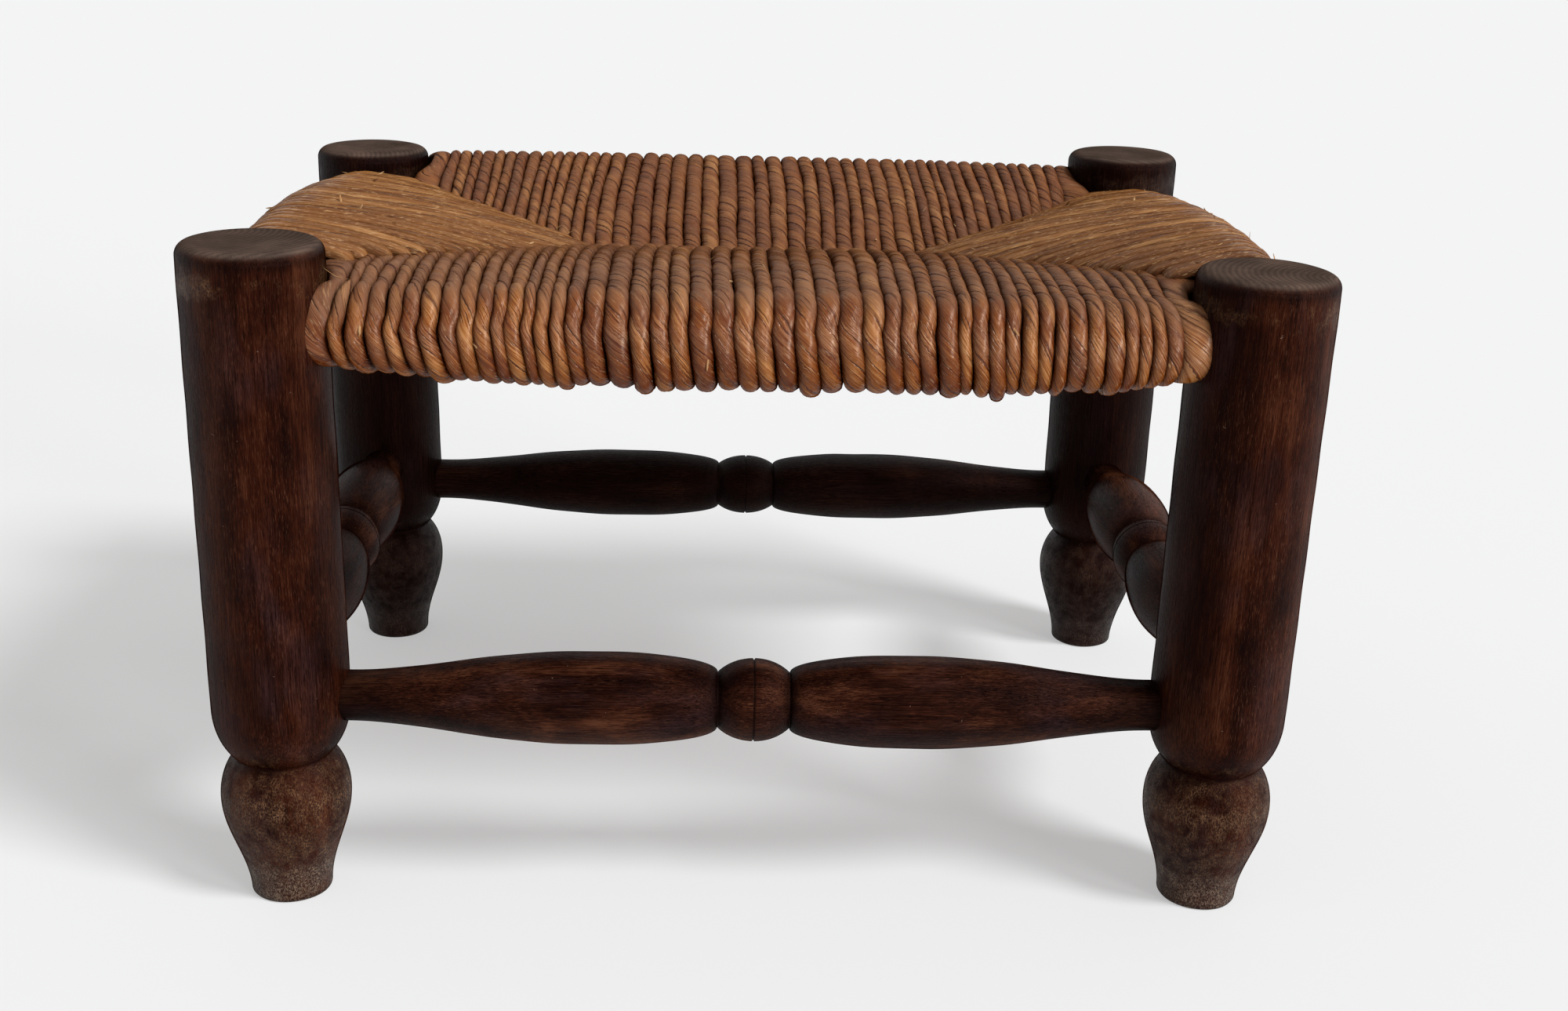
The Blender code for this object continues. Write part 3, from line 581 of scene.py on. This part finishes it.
# The rush seat: four mitred panels of dried rush, twisted by hand into cords and wound round the rails, the
# side cords over the ends of the long ones. Each cord shows the edges of its wound leaves. The front is
# rubbed shiny and the top is greyed by dust.
RAIL_RADIUS = 0.0085
RUSH_TO_RAIL = 0.0003
RUSH_TO_LEG = 0.0008
LINING_RADIUS = (RAIL_RADIUS + RUSH_TO_RAIL) / math.cos(math.pi / 8)
CORNER_COURSES = 15
BRIDGE_COURSES = 19
SIDE_PANEL_DEPTH = 0.108
FRONT_CORNER_DROP = 0.003
BACK_CORNER_DROP = 0.016
APEX_DROP = 0.022
CENTRE_DROP = 0.0245
UNDERSIDE_CROWN = 0.010
CORNER_STUFFING = 0.012
CENTRE_STUFFING = 0.006
DISH_POWER = 4
LEG_HUG_POWER = 8
BRIDGED_HUG_POWER = 40
CORNER_X = half_x - LEG_RADIUS * math.cos(math.pi / 4)
CORNER_Y = half_y - LEG_RADIUS * math.sin(math.pi / 4)
APEX_X = half_x - SIDE_PANEL_DEPTH

CORD_SIDES = 18
CORD_STEP = 0.0017
UNDER_STEP = 0.0041
FINE_PAST_CREST = 0.045
PATH_STEP = 0.0004
PATH_SOFTNESS = 0.0012
WIDTH_SPREAD = 0.10
WIDTH_LIMITS = (0.78, 1.28)
LOOSENESS = 0.0004
LOOSENESS_LIMITS = (-0.0006, 0.0010)
SLIPPED_CORD_SLACK = 0.0007
SLIPPED_CORD_SHARE = 0.05
BROAD_SWAY = 0.00045
CROSS_SWAY = 0.00035
OWN_SWAY = 0.00022
ANY_PHASE = (0, 6.3)
KNUCKLE_PAST_CREST = 0.0235
KINK = 0.0009
KINK_LENGTH = 0.006
FRONT_FACE_LENGTH = 0.028
LEAN_FADES_OVER = 0.14
LEAF_STEP = 0.00026
END_CORD_WIDTH = 1.4
CORNER_HUG = 0.0177
LONG_PANEL_FLAKES = 26
SIDE_PANEL_FLAKES = 130
FIBRE_SHARE = 0.15
FIBRE_LENGTHS = (0.004, 0.008)
FIBRE_HALF_WIDTH = 0.00012
FLAKE_LENGTHS = (0.002, 0.005)
FLAKE_HALF_WIDTHS = (0.00025, 0.0006)
FLAKE_HALF_THICKNESS = 0.00009
FLAKE_RINGS = 7
FLAKE_SIDES = 6

RUSH_SHADES = [(0.0, (0.054, 0.0065, 0.0005, 1)), (0.35, (0.116, 0.0215, 0.0009, 1)),
               (0.7, (0.205, 0.054, 0.0034, 1)), (1.0, (0.400, 0.172, 0.050, 1))]
SIDE_RUSH_SHADES = [(0.0, (0.060, 0.0155, 0.0020, 1)), (0.35, (0.146, 0.047, 0.0085, 1)),
                    (0.7, (0.240, 0.091, 0.0210, 1)), (1.0, (0.440, 0.220, 0.078, 1))]
GREYED_RUSH = (0.248, 0.134, 0.076, 1)
RUSH_SHADOW = (0.036, 0.0046, 0.0011, 1)
RUSH_SHEEN = (1.0, 0.78, 0.62, 1)
PALED_AND_HIGHLIT_RUSH = (0.420, 0.210, 0.110, 1)
FRAYED_RUSH = (0.52, 0.32, 0.155, 1)


def smooth_share(value):
    value = np.clip(value, 0, 1)
    return value * value * (3 - 2 * value)


class WoundPanel(SimpleNamespace):
    """One panel's cords in its own frame: s along the rail, p from the rail in to the middle of the seat.

    rail_drops and corner_drops are given at the two legs, thicknesses at the middle and beside the legs,
    squareness above and below the middle of the wrap, dive as a depth and a length, plump as a width and a
    squareness of the cords.
    """

    def __init__(self, seed, **ways):
        super().__init__(**ways)
        self.run = self.leg_along - LEG_RADIUS - RUSH_TO_LEG
        self.bridges = bool(self.bridge_courses)
        self.inner_hug_power = BRIDGED_HUG_POWER if self.bridges else LEG_HUG_POWER
        self.greyed_to = KNUCKLE_PAST_CREST - 0.0035 if self.lean else 0.006
        self.laid = []
        self.rng = np.random.default_rng(seed)
        spans = [(-self.run, -self.apex, CORNER_COURSES), (-self.apex, self.apex, self.bridge_courses),
                 (self.apex, self.run, CORNER_COURSES)]
        edges = [-self.run]
        for low, high, courses in spans:
            if courses:
                widths = self.rng.normal(1, WIDTH_SPREAD, courses).clip(*WIDTH_LIMITS)
                if self.bridges and abs(low + high) > self.apex:
                    widths[0 if low < -self.apex else -1] *= END_CORD_WIDTH
                edges += list(low + (high - low) * np.cumsum(widths) / widths.sum())
        self.edges = np.array(edges)

    def mitre_share(self, s):
        """0 at the leg's corner and 1 at the mitre's inner end."""
        if self.bridges:
            return min(1.0, (CORNER_X - abs(s)) / (CORNER_X - APEX_X))
        return 1 - abs(s) / CORNER_Y

    def fullness(self, s):
        """0 beside the legs and 1 at the middle of the rail."""
        return 1 - abs(s / self.run) ** self.fullness_power

    def cord_path(self, s, thickness, extra_slack):
        """p and z along the middle of the cord at s, at small steps from its top end over the rail to its
        under end, and how far in from the rail it reaches."""
        share = self.mitre_share(s)
        end = CORNER_Y * (1 - share) if self.bridges else between(CORNER_X, APEX_X, share)
        reach = self.half_span - end + self.overlap * self.rng.uniform(0.3, 1.0)
        drop = between(self.corner_drops[0 if s < 0 else 1], APEX_DROP, share)
        if self.bridges and abs(s) < self.apex:
            drop += (CENTRE_DROP - self.end_step - APEX_DROP) * eased((abs(s) / self.apex) ** DISH_POWER)
        top = LEG_HEIGHT - drop - self.end_step
        under = top - 2 * thickness - between(CORNER_STUFFING, CENTRE_STUFFING, share)
        slack = (self.slack + extra_slack) * self.fullness(s)
        near, far = self.rail_drops
        middle = LEG_HEIGHT - near - (far - near) * (1 + s / self.leg_along) / 2 - slack
        radius = LINING_RADIUS + slack + thickness / 2
        top, under = top - thickness / 2, under + thickness / 2
        dive_depth, dive_length = self.dive

        inward = np.linspace(1, 0, max(8, int(reach / PATH_STEP)))
        top_z = middle + radius + (top - middle - radius) * inward
        top_z += 4 * inward * (1 - inward) * self.crown * reach
        top_z -= dive_depth * smooth_share(1 - (1 - inward) * reach / dive_length) ** 1.5
        outward = np.linspace(0, 1, max(8, int(reach / PATH_STEP)))[1:]
        under_z = middle - radius + (under - middle + radius) * outward
        under_z -= 4 * outward * (1 - outward) * UNDERSIDE_CROWN * reach
        under_z += dive_depth * 0.6 * smooth_share(1 - (1 - outward) * reach / dive_length)
        wrap = np.linspace(0, np.pi, int(np.pi * radius / PATH_STEP))[1:]
        bend = 2 / np.where(wrap < np.pi / 2, self.squareness[0], self.squareness[1])
        wrap_z = middle + radius * np.sign(np.cos(wrap)) * np.abs(np.cos(wrap)) ** bend
        wrap_z -= self.slump * radius * np.sin(wrap) ** 2 * np.sqrt(np.maximum(np.cos(wrap), 0))
        p = np.concatenate([inward * reach, -radius * np.abs(np.sin(wrap)) ** bend, outward * reach])
        return p, np.concatenate([top_z, wrap_z, under_z]), reach

    def leaning(self, s, past_crest):
        """How far a long panel's cord has moved along the rail, by its length past the crest: it kinks back
        at the knuckle and then leans."""
        past_knuckle = past_crest - KNUCKLE_PAST_CREST
        lean = self.lean * np.clip((self.run - s) / LEAN_FADES_OVER, 0, 1)
        lean = lean * np.clip((self.run + s) / 0.03, 0.2, 1)
        moved = lean * np.clip(past_knuckle, 0, FRONT_FACE_LENGTH)
        kink = KINK * np.clip(0.9 - s / self.run, 0, 1.0) if self.lean else 0.0
        moved = moved - kink * smooth_share(past_knuckle / KINK_LENGTH + 1)
        return moved * (1 - smooth_share((past_knuckle - FRONT_FACE_LENGTH) / 0.05))

    def along(self, s, p):
        """s moved outwards where the end cords hug the round leg and bulge in front of it."""
        beside = np.minimum(p, CORNER_HUG)
        face = self.leg_along - np.sqrt(np.maximum((LEG_RADIUS + RUSH_TO_LEG) ** 2 - beside ** 2, 0))
        nearness = abs(s) / self.run
        hug = nearness ** np.where(p < 0, LEG_HUG_POWER, self.inner_hug_power) * (face - self.run)
        bulge = self.end_bulge * nearness ** 20 * smooth_share(-p / 0.012)
        return s + np.sign(s) * (hug + bulge)


def even_steps(path, steps):
    """path softened over PATH_SOFTNESS and cut at the lengths in steps, which start at 0."""
    columns = range(path.shape[1])
    length = np.concatenate([[0], np.cumsum(np.linalg.norm(np.diff(path, axis=0), axis=1))])
    fine = np.linspace(0, length[-1], int(length[-1] / PATH_STEP) + 2)
    fine_path = np.column_stack([np.interp(fine, length, path[:, axis]) for axis in columns])
    reach = int(3 * PATH_SOFTNESS / PATH_STEP)
    kernel = np.exp(-0.5 * (np.arange(-reach, reach + 1) * PATH_STEP / PATH_SOFTNESS) ** 2)
    kernel /= kernel.sum()
    before = 2 * fine_path[0] - fine_path[reach:0:-1]
    after = 2 * fine_path[-1] - fine_path[-2:-reach - 2:-1]
    extended = np.vstack([before, fine_path, after])
    softened = [np.convolve(extended[:, axis], kernel, "valid") for axis in columns]
    return np.column_stack([np.interp(steps, fine, values) for values in softened])


class CordMesh:
    """Gathers many closed cords into one mesh, with the values that the rush finish reads."""

    def __init__(self):
        self.points, self.faces, self.leaf, self.strips = [], [], [], []
        self.kept = {key: [] for key in ("strand", "greyed", "upper", "rubbed", "paled", "gap", "frayed")}
        self.count = 0

    def add(self, centre, across, outward, half_width, half_height, squareness, leaf_turn, along, sides,
            **values):
        """One cord: rings of points round centre, closed to a point at both ends."""
        rings = len(centre)
        turn = np.linspace(-np.pi / 2, 3 * np.pi / 2, sides, endpoint=False)
        cos, sin = np.cos(turn), np.sin(turn)
        flat_cos = np.sign(cos) * np.abs(cos) ** (2 / squareness)
        flat_sin = np.sign(sin) * np.abs(sin) ** (2 / squareness)
        points = (centre[:, None, :] + across[:, None, :] * (half_width * flat_cos)[:, :, None]
                  + outward[:, None, :] * (half_height * flat_sin)[:, :, None])
        self.points += [points.reshape(-1, 3), centre[[0, -1]]]
        quads, *caps = [faces + self.count for faces in ring_faces(rings, sides)]
        self.faces.append((quads, caps))
        ring, side = np.meshgrid(np.arange(rings - 1), np.arange(sides), indexing="ij")
        one = np.arange(sides)
        around = np.arange(sides + 1) / sides
        this_row, next_row = ring * (sides + 1) + side, (ring + 1) * (sides + 1) + side
        corner = np.stack([this_row, this_row + 1, next_row + 1, next_row], -1).reshape(-1, 4)
        cap_corners = [np.column_stack([one, one + 1, one]),
                       np.column_stack([one, one, one + 1]) + (rings - 1) * (sides + 1)]
        self.leaf.append((leaf_turn(along[:, None], around[None, :]).ravel(), np.tile(around, rings),
                          np.repeat(along, sides + 1), corner, cap_corners))
        self.strips.append((2.6 * float(np.mean(half_width + half_height)), float(along[-1])))
        for key in self.kept:
            value = np.asarray(values.get(key, 0.0), float)
            value = np.broadcast_to(value[:, None] if value.ndim == 1 else value, (rings, sides))
            self.kept[key].append(np.concatenate([value.ravel(), value[[0, -1], 0]]))
        self.count += rings * sides + 2

    def lay_out(self):
        """Lay each cord's opened-out skin in a square, in rows. Gives each one's corner, width and scale."""
        order = np.argsort([-length for _, length in self.strips])
        side = math.sqrt(sum(girth * length for girth, length in self.strips)) * 1.04
        places, x, y, row = {}, 0.0, 0.0, 0.0
        for cord in order:
            girth, length = self.strips[cord]
            if x + girth > side:
                x, y, row = 0.0, y + row * 1.01, 0.0
            places[cord] = (x, y)
            x += girth * 1.06
            row = max(row, length)
        full = max(side * 1.07, y + row)
        return [(places[cord][0] / full, places[cord][1] / full, girth / full, 1 / full)
                for cord, (girth, _) in enumerate(self.strips)]

    def finish(self, name):
        mesh = bpy.data.meshes.new(name)
        polygons, leaf_corners, layout_corners = [], [], []
        for (quads, caps), (leaf_u, strip_u, length, corner, cap_corners), (x, y, wide, scale) in zip(
                self.faces, self.leaf, self.lay_out()):
            for faces, corners in [(quads, corner), *zip(caps, cap_corners)]:
                polygons += faces.tolist()
                flat = corners.ravel()
                leaf_corners.append(np.column_stack([leaf_u[flat], length[flat] * CENTIMETRES]))
                layout_corners.append(np.column_stack([x + wide * strip_u[flat], y + scale * length[flat]]))
        mesh.from_pydata(np.vstack(self.points).tolist(), [], polygons)
        mesh.shade_smooth()
        for layer_name, corners in (("OFBake", layout_corners), ("leaf", leaf_corners)):
            layer = mesh.uv_layers.new(name=layer_name)
            layer.data.foreach_set("uv", np.vstack(corners).astype(np.float32).ravel())
        store(mesh, **{key: np.concatenate(values) for key, values in self.kept.items()})
        return mesh


def leaf_edges(rng, steps, turns):
    """A function from a place along and around a cord to a count of leaf edges passed, irregularly spaced."""
    spots = np.concatenate([[-1.5], -1.5 + np.cumsum(rng.uniform(0.10, 0.44, int(turns[-1] * 4.5) + 24))])
    count = np.arange(len(spots))
    return lambda along, around: np.interp(np.interp(along, steps, turns) + around, spots, count)


def wind_panel(panel, turned_to, mesh):
    """Wind every cord of one panel into mesh, and keep where each cord lies on panel.laid."""
    rng = panel.rng
    flow = rng.uniform(0, 2 * np.pi, 6)
    turn = np.linspace(-np.pi / 2, 3 * np.pi / 2, CORD_SIDES, endpoint=False)
    around = np.arange(CORD_SIDES)[None, :] / CORD_SIDES
    width_share, squareness = panel.plump
    middle_thickness, end_thickness = panel.thicknesses
    for low, high in zip(panel.edges[:-1], panel.edges[1:]):
        s = (low + high) / 2
        thickness = between(end_thickness, middle_thickness, panel.fullness(s))
        extra_slack = float(np.clip(rng.normal(0, LOOSENESS), *LOOSENESS_LIMITS))
        extra_slack += SLIPPED_CORD_SLACK * (rng.uniform() < SLIPPED_CORD_SHARE)
        p, z, reach = panel.cord_path(s, thickness, extra_slack)
        length = np.hypot(np.diff(p), np.diff(z)).sum()
        over_rail = reach + FINE_PAST_CREST
        steps = np.concatenate([np.arange(0, over_rail, CORD_STEP), np.arange(over_rail, length, UNDER_STEP)])
        p, z = even_steps(np.column_stack([p, z]), steps).T
        sway = (BROAD_SWAY * np.sin(s / 0.021 + steps / 0.033 + flow[0])
                + CROSS_SWAY * np.sin(s / 0.047 - steps / 0.019 + flow[1])
                + OWN_SWAY * np.sin(steps / rng.uniform(0.007, 0.014) + rng.uniform(*ANY_PHASE)))
        sway = sway * smooth_share(steps / 0.01)
        leaning = panel.leaning(s, steps - reach + rng.normal(0, 0.0011))
        sway += leaning * (1 + 0.28 * np.sin(s / 0.027 + flow[2]) + rng.normal(0, 0.06))
        near_edge, far_edge = panel.along(low, p), panel.along(high, p)
        centre = np.column_stack([(near_edge + far_edge) / 2 + sway, p - panel.half_span, z])
        heading = np.gradient(centre, axis=0)
        heading /= np.linalg.norm(heading, axis=1)[:, None]
        across = np.array([1.0, 0, 0]) - heading * heading[:, :1]
        across /= np.linalg.norm(across, axis=1)[:, None]
        outward = np.cross(heading, across)

        on_top = smooth_share((reach - steps + panel.greyed_to + rng.normal(0, 0.0015)) / 0.010)
        below = smooth_share((steps - reach - 0.040) / 0.03)
        # A pale band round the knuckle: paler wear, and a painted highlight where the rubbed front catches
        # the light.
        paled = band(steps - reach, KNUCKLE_PAST_CREST + 0.002, 0.006) * bool(panel.lean)
        paled = paled * rng.uniform(0.3, 1.0)
        lead = panel.twist * rng.uniform(0.8, 1.3) * (1 + 1.2 * below)
        turns = np.concatenate([[0], np.cumsum(np.diff(steps) / (0.5 * (lead[1:] + lead[:-1])))])
        leaf_turn = leaf_edges(rng, steps, turns)
        in_leaf = leaf_turn(steps[:, None], around) % 1.0
        leaf_rise = LEAF_STEP * (np.minimum(in_leaf * 5, 1) - 0.8 * in_leaf)
        lumps = (1 + 0.045 * np.sin(steps / rng.uniform(0.005, 0.010) + rng.uniform(*ANY_PHASE))
                 + 0.035 * np.sin(steps / rng.uniform(0.015, 0.03) + rng.uniform(*ANY_PHASE)))
        tip = np.sqrt(np.clip(np.minimum(steps + 0.0004, steps[-1] - steps + 0.0004) / 0.003, 0, 1))
        wander = 1 + 0.04 * np.sin(2 * np.pi * (turns[:, None] + around) * 2 + rng.uniform(*ANY_PHASE))
        half_width = (width_share * (far_edge - near_edge) * lumps * tip)[:, None] * wander + leaf_rise
        half_height = (0.5 * thickness * (2 - lumps) * tip)[:, None] * wander + leaf_rise
        to_stool = np.array(turned_to.to_3x3()).T
        frame_of_cord = [vectors @ to_stool for vectors in (centre, across, outward, heading)]
        # Painted shade on each cord's flanks, where it meets its neighbours.
        gap = np.broadcast_to(np.abs(np.cos(turn)) ** panel.gap_power, (len(steps), CORD_SIDES))
        mesh.add(*frame_of_cord[:3], half_width, half_height, squareness, leaf_turn, steps, CORD_SIDES,
                 strand=float(rng.uniform()), greyed=on_top * panel.greyed, upper=on_top,
                 rubbed=(1 - on_top) * (1 - 0.6 * below), paled=paled, gap=gap)
        on_show = (steps > 0.004) & (steps < over_rail - 0.012)
        parts = (*frame_of_cord, half_width.mean(1), half_height.mean(1))
        panel.laid.append([part[on_show] for part in parts])


def fray(panel, mesh, count):
    """Add split ends of leaf that stand off the cords: short flat flakes, and a few thin fibres."""
    rng = panel.rng
    for _ in range(count):
        cord = panel.laid[rng.integers(len(panel.laid))]
        spot = rng.integers(len(cord[0]))
        centre, across, outward, heading, half_width, half_height = [part[spot] for part in cord]
        lean, swing = rng.uniform(-0.8, 0.8), rng.normal(0, 0.55)
        facing = across * math.sin(lean) + outward * math.cos(lean)
        level = across * math.cos(lean) - outward * math.sin(lean)
        start = centre + across * half_width * math.sin(lean) + outward * half_height * math.cos(lean)
        start = start - facing * 0.0002
        run = heading * math.cos(swing) + level * math.sin(swing)
        run = run * rng.choice((-1, 1))
        thin = rng.uniform() < FIBRE_SHARE
        length = rng.uniform(*FIBRE_LENGTHS) if thin else rng.uniform(*FLAKE_LENGTHS)
        wide = FIBRE_HALF_WIDTH if thin else rng.uniform(*FLAKE_HALF_WIDTHS)
        lift, curl = rng.uniform(0.02, 0.16) * length, rng.uniform(-0.25, 0.25) * length
        share = np.linspace(0, 1, FLAKE_RINGS)
        flat_side = np.cross(run, facing)
        path = (start + np.outer(share * length, run) + np.outer(lift * share ** 1.7, facing)
                + np.outer(curl * share ** 2, flat_side))
        ends = np.clip(np.minimum(share * 6 + 0.3, (1 - share) * 3 + 0.25), 0, 1)
        ends = np.repeat(ends[:, None], FLAKE_SIDES, axis=1)
        mesh.add(path, np.tile(flat_side, (FLAKE_RINGS, 1)), np.tile(facing, (FLAKE_RINGS, 1)), wide * ends,
                 FLAKE_HALF_THICKNESS * ends, 2.0, lambda along, around: along * 40 + around * 0.3,
                 share * length, FLAKE_SIDES, strand=float(rng.uniform()),
                 frayed=np.full(FLAKE_RINGS, rng.uniform(0.35, 1.0)))


def twisted_rush(name, shades, ribs_across, creased, gap_share, bleached):
    """Dried rush: fine ribs along each wound leaf, dark lines at the leaf edges, dust on the top, painted
    shade where the cords meet, paler wear with a painted highlight on the knuckles, shine where it is rubbed."""
    rush = Finish(name)
    strand, greyed, rubbed, gap = rush.kept("strand", "greyed", "rubbed", "gap")
    frayed, upper, paled = rush.kept("frayed", "upper", "paled")
    split = shade(rush.tree, "SeparateXYZ", {0: rush.add("UVMap", uv_map="leaf")}).outputs
    cord_seed = rush.times(strand, 71.0)
    rush.place = rush.add("CombineXYZ", {0: split["X"], 1: split["Y"], 2: cord_seed})

    def chance_of(leaf):
        place = rush.add("CombineXYZ", {0: leaf, 1: cord_seed})
        return rush.add("TexWhiteNoise", {"Vector": place}, "Value", noise_dimensions="2D")

    turn = rush.calc("MULTIPLY_ADD", rush.noise((2.0, 4.0, 1.0), 2.0), 0.12, split["X"])
    crease = rush.calc("PINGPONG", turn, 0.5)
    thin_line = rush.span(crease, 0.020, 0.062, 1.0, 0.0)
    wide_line = rush.span(crease, 0.050, 0.150, 1.0, 0.0)
    line = rush.add("Mix", {0: upper, 2: thin_line, 3: wide_line})
    broken = rush.span(rush.noise((0.3, 0.9, 1.0), 2.0), 0.40, 0.54, 0.18, 1.0)
    dark_edge = rush.span(chance_of(rush.calc("ROUND", turn)), 0.15, 0.60, 0.10, 1.0)
    line = rush.times(rush.times(line, broken), dark_edge)
    split_turn = rush.calc("MULTIPLY_ADD", turn, 3.0, cord_seed)
    split_here = rush.span(rush.noise((1.1, 1.3, 1.0), 1.0), 0.560, 0.62)
    splits = rush.span(rush.calc("PINGPONG", split_turn, 0.5), 0.03, 0.12, 0.75, 0.0)
    line = rush.times(rush.calc("MAXIMUM", line, rush.times(splits, split_here)), creased)

    ribs = rush.noise((ribs_across, 0.5, 1.0), 3.0, 0.7)
    fine_ribs = rush.noise((2.4 * ribs_across, 1.2, 1.0), 2.0, 0.6)
    clouds = rush.noise((0.5, 0.7, 1.0), 3.0)
    leaf_tone = chance_of(rush.calc("FLOOR", turn))
    tone = rush.total((leaf_tone, 0.22), (strand, 0.24), (ribs, 0.85), (clouds, 0.40), (fine_ribs, 0.55))
    colour = rush.colours(rush.span(tone, 0.80, 1.42), shades)
    dusty = rush.tint(GREYED_RUSH, colour, rush.span(ribs, 0.3, 0.7, 0.15, 0.55))
    colour = rush.tint(colour, dusty, greyed, rush.span(clouds, 0.3, 0.7, 0.55, 0.95))
    colour = rush.tint(colour, PALED_AND_HIGHLIT_RUSH, paled, rush.span(ribs, 0.40, 0.65, 0.0, 0.62))
    colour = rush.tint(colour, RUSH_SHADOW, line, 0.92)
    # Painted shade between the cords, lighter on the top.
    gap_shadow = rush.span(upper, 0.0, 1.0, gap_share, 0.6 * gap_share)
    colour = rush.tint(colour, RUSH_SHADOW, gap, gap_shadow)
    dashes = rush.span(rush.noise((1.2 * ribs_across, 3.0, 1.0), 2.0, 0.6), 0.60, 0.66)
    colour = rush.tint(colour, FRAYED_RUSH, dashes, bleached)
    colour = rush.tint(colour, FRAYED_RUSH, frayed, rush.span(ribs, 0.3, 0.7, 0.6, 1.0))

    gloss = rush.total((rush.span(rubbed, 0.0, 1.0, 0.50, 0.17), 1.0), (ribs, 0.12))
    overlap = rush.span(rush.calc("FRACT", turn), 0.0, 0.35)
    relief = rush.total((fine_ribs, 0.35), (ribs, 0.45), (overlap, 0.22), (line, -0.85))
    relief = rush.times(relief, rush.span(rubbed, 0.0, 1.0, 1.0, 0.55))
    rush.dress(colour, gloss, relief, strength=0.9, depth=0.0006)
    rush.gleam(rush.span(rubbed, 0.0, 1.0, 0.26, 0.40), RUSH_SHEEN)
    return rush.material


long_ways = dict(half_span=half_y, leg_along=half_x, apex=APEX_X, bridge_courses=BRIDGE_COURSES,
                 thicknesses=(0.0062, 0.005), fullness_power=4, slack=0.0028, end_step=0.0025,
                 dive=(0.0030, 0.006), overlap=0.0035, end_bulge=0.004, lean=0.14, twist=0.025,
                 plump=(0.500, 2.15), gap_power=2.4)
front_ways = dict(rail_drops=(0.0238, 0.0238), corner_drops=(FRONT_CORNER_DROP, FRONT_CORNER_DROP),
                  squareness=(4.6, 3.0), slump=0.78, crown=0.058, greyed=1.0)
back_ways = dict(rail_drops=(0.0190, 0.0190), corner_drops=(BACK_CORNER_DROP, BACK_CORNER_DROP),
                 squareness=(2.2, 2.6), slump=0.0, crown=0.020, greyed=0.6)
side_ways = dict(half_span=half_x, leg_along=half_y, apex=0.0, bridge_courses=0, thicknesses=(0.008, 0.0035),
                 fullness_power=2, slack=0.0014, end_step=0.0, dive=(0.0018, 0.004), overlap=0.003,
                 end_bulge=0.0, lean=0.0, twist=0.13, plump=(0.54, 3.6), gap_power=6.0,
                 squareness=(2.5, 2.5), slump=0.0, crown=0.030, greyed=0.25)
right_ways = dict(rail_drops=(0.0100, 0.0250), corner_drops=(FRONT_CORNER_DROP, BACK_CORNER_DROP))
left_ways = dict(rail_drops=(0.0250, 0.0100), corner_drops=(BACK_CORNER_DROP, FRONT_CORNER_DROP))
panels = {
    "front": (WoundPanel(seed=101, **long_ways, **front_ways), 0),
    "right": (WoundPanel(seed=103, **side_ways, **right_ways), 90),
    "back": (WoundPanel(seed=105, **long_ways, **back_ways), 180),
    "left": (WoundPanel(seed=107, **side_ways, **left_ways), -90),
}
long_rush = twisted_rush("twisted_rush", RUSH_SHADES, ribs_across=11.0, creased=1.0, gap_share=0.9,
                         bleached=0.25)
side_rush = twisted_rush("golden_rush", SIDE_RUSH_SHADES, ribs_across=13.0, creased=0.7, gap_share=0.85,
                         bleached=0.7)
for panel_side, (panel, degrees) in panels.items():
    cords = CordMesh()
    wind_panel(panel, Matrix.Rotation(math.radians(degrees), 4, "Z"), cords)
    fray(panel, cords, LONG_PANEL_FLAKES if panel.bridges else SIDE_PANEL_FLAKES)
    rush_mesh = cords.finish("rush_cords_" + panel_side)
    rush_mesh.materials.append(long_rush if panel.bridges else side_rush)
    rush = placed("rush_cords_" + panel_side, rush_mesh)
    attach(rush, "root")
    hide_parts("rush_panel_" + panel_side)


# The stuffing: loose rush waste packed between the upper and under cords of each panel to make the seat firm.
# It is a lumpy wad that hardly shows, dark between the cords.
WAD_GRAIN = 0.0028
WAD_LUMPS = 0.0007
LUMPS_PER_METRE = 140
WASTE_SHADES = [(0.2, (0.050, 0.021, 0.008, 1)), (0.8, (0.180, 0.092, 0.038, 1))]

waste_finish = dry_fibre("rush_waste", WASTE_SHADES, stretch=(900, 160, 500), detail=5.0, raggedness=0.7,
                         dullness=(0.7, 0.9), strength=0.9, depth=0.001)
for panel_side in panels:
    wad = placed("rush_wad_" + panel_side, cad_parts["rush_stuffing_" + panel_side].data.copy())
    remesh = wad.modifiers.new("packed", "REMESH")
    remesh.mode = "VOXEL"
    remesh.voxel_size = WAD_GRAIN
    packed = bpy.data.meshes.new_from_object(wad.evaluated_get(bpy.context.evaluated_depsgraph_get()))
    wad.modifiers.clear()
    wad.data = packed
    at = points_of(packed)
    facing = np.zeros(at.size, np.float32)
    packed.vertices.foreach_get("normal", facing)
    lumps = np.array([noise.fractal(Vector(point) * LUMPS_PER_METRE, 1.0, 2.0, 3) for point in at])
    at -= facing.reshape(-1, 3) * (WAD_LUMPS * (1 + 0.9 * lumps))[:, None]
    packed.vertices.foreach_set("co", at.astype(np.float32).ravel())
    packed.materials.clear()
    packed.materials.append(waste_finish)
    packed.shade_smooth()
    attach(wad, "root")
    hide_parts("rush_stuffing_" + panel_side)
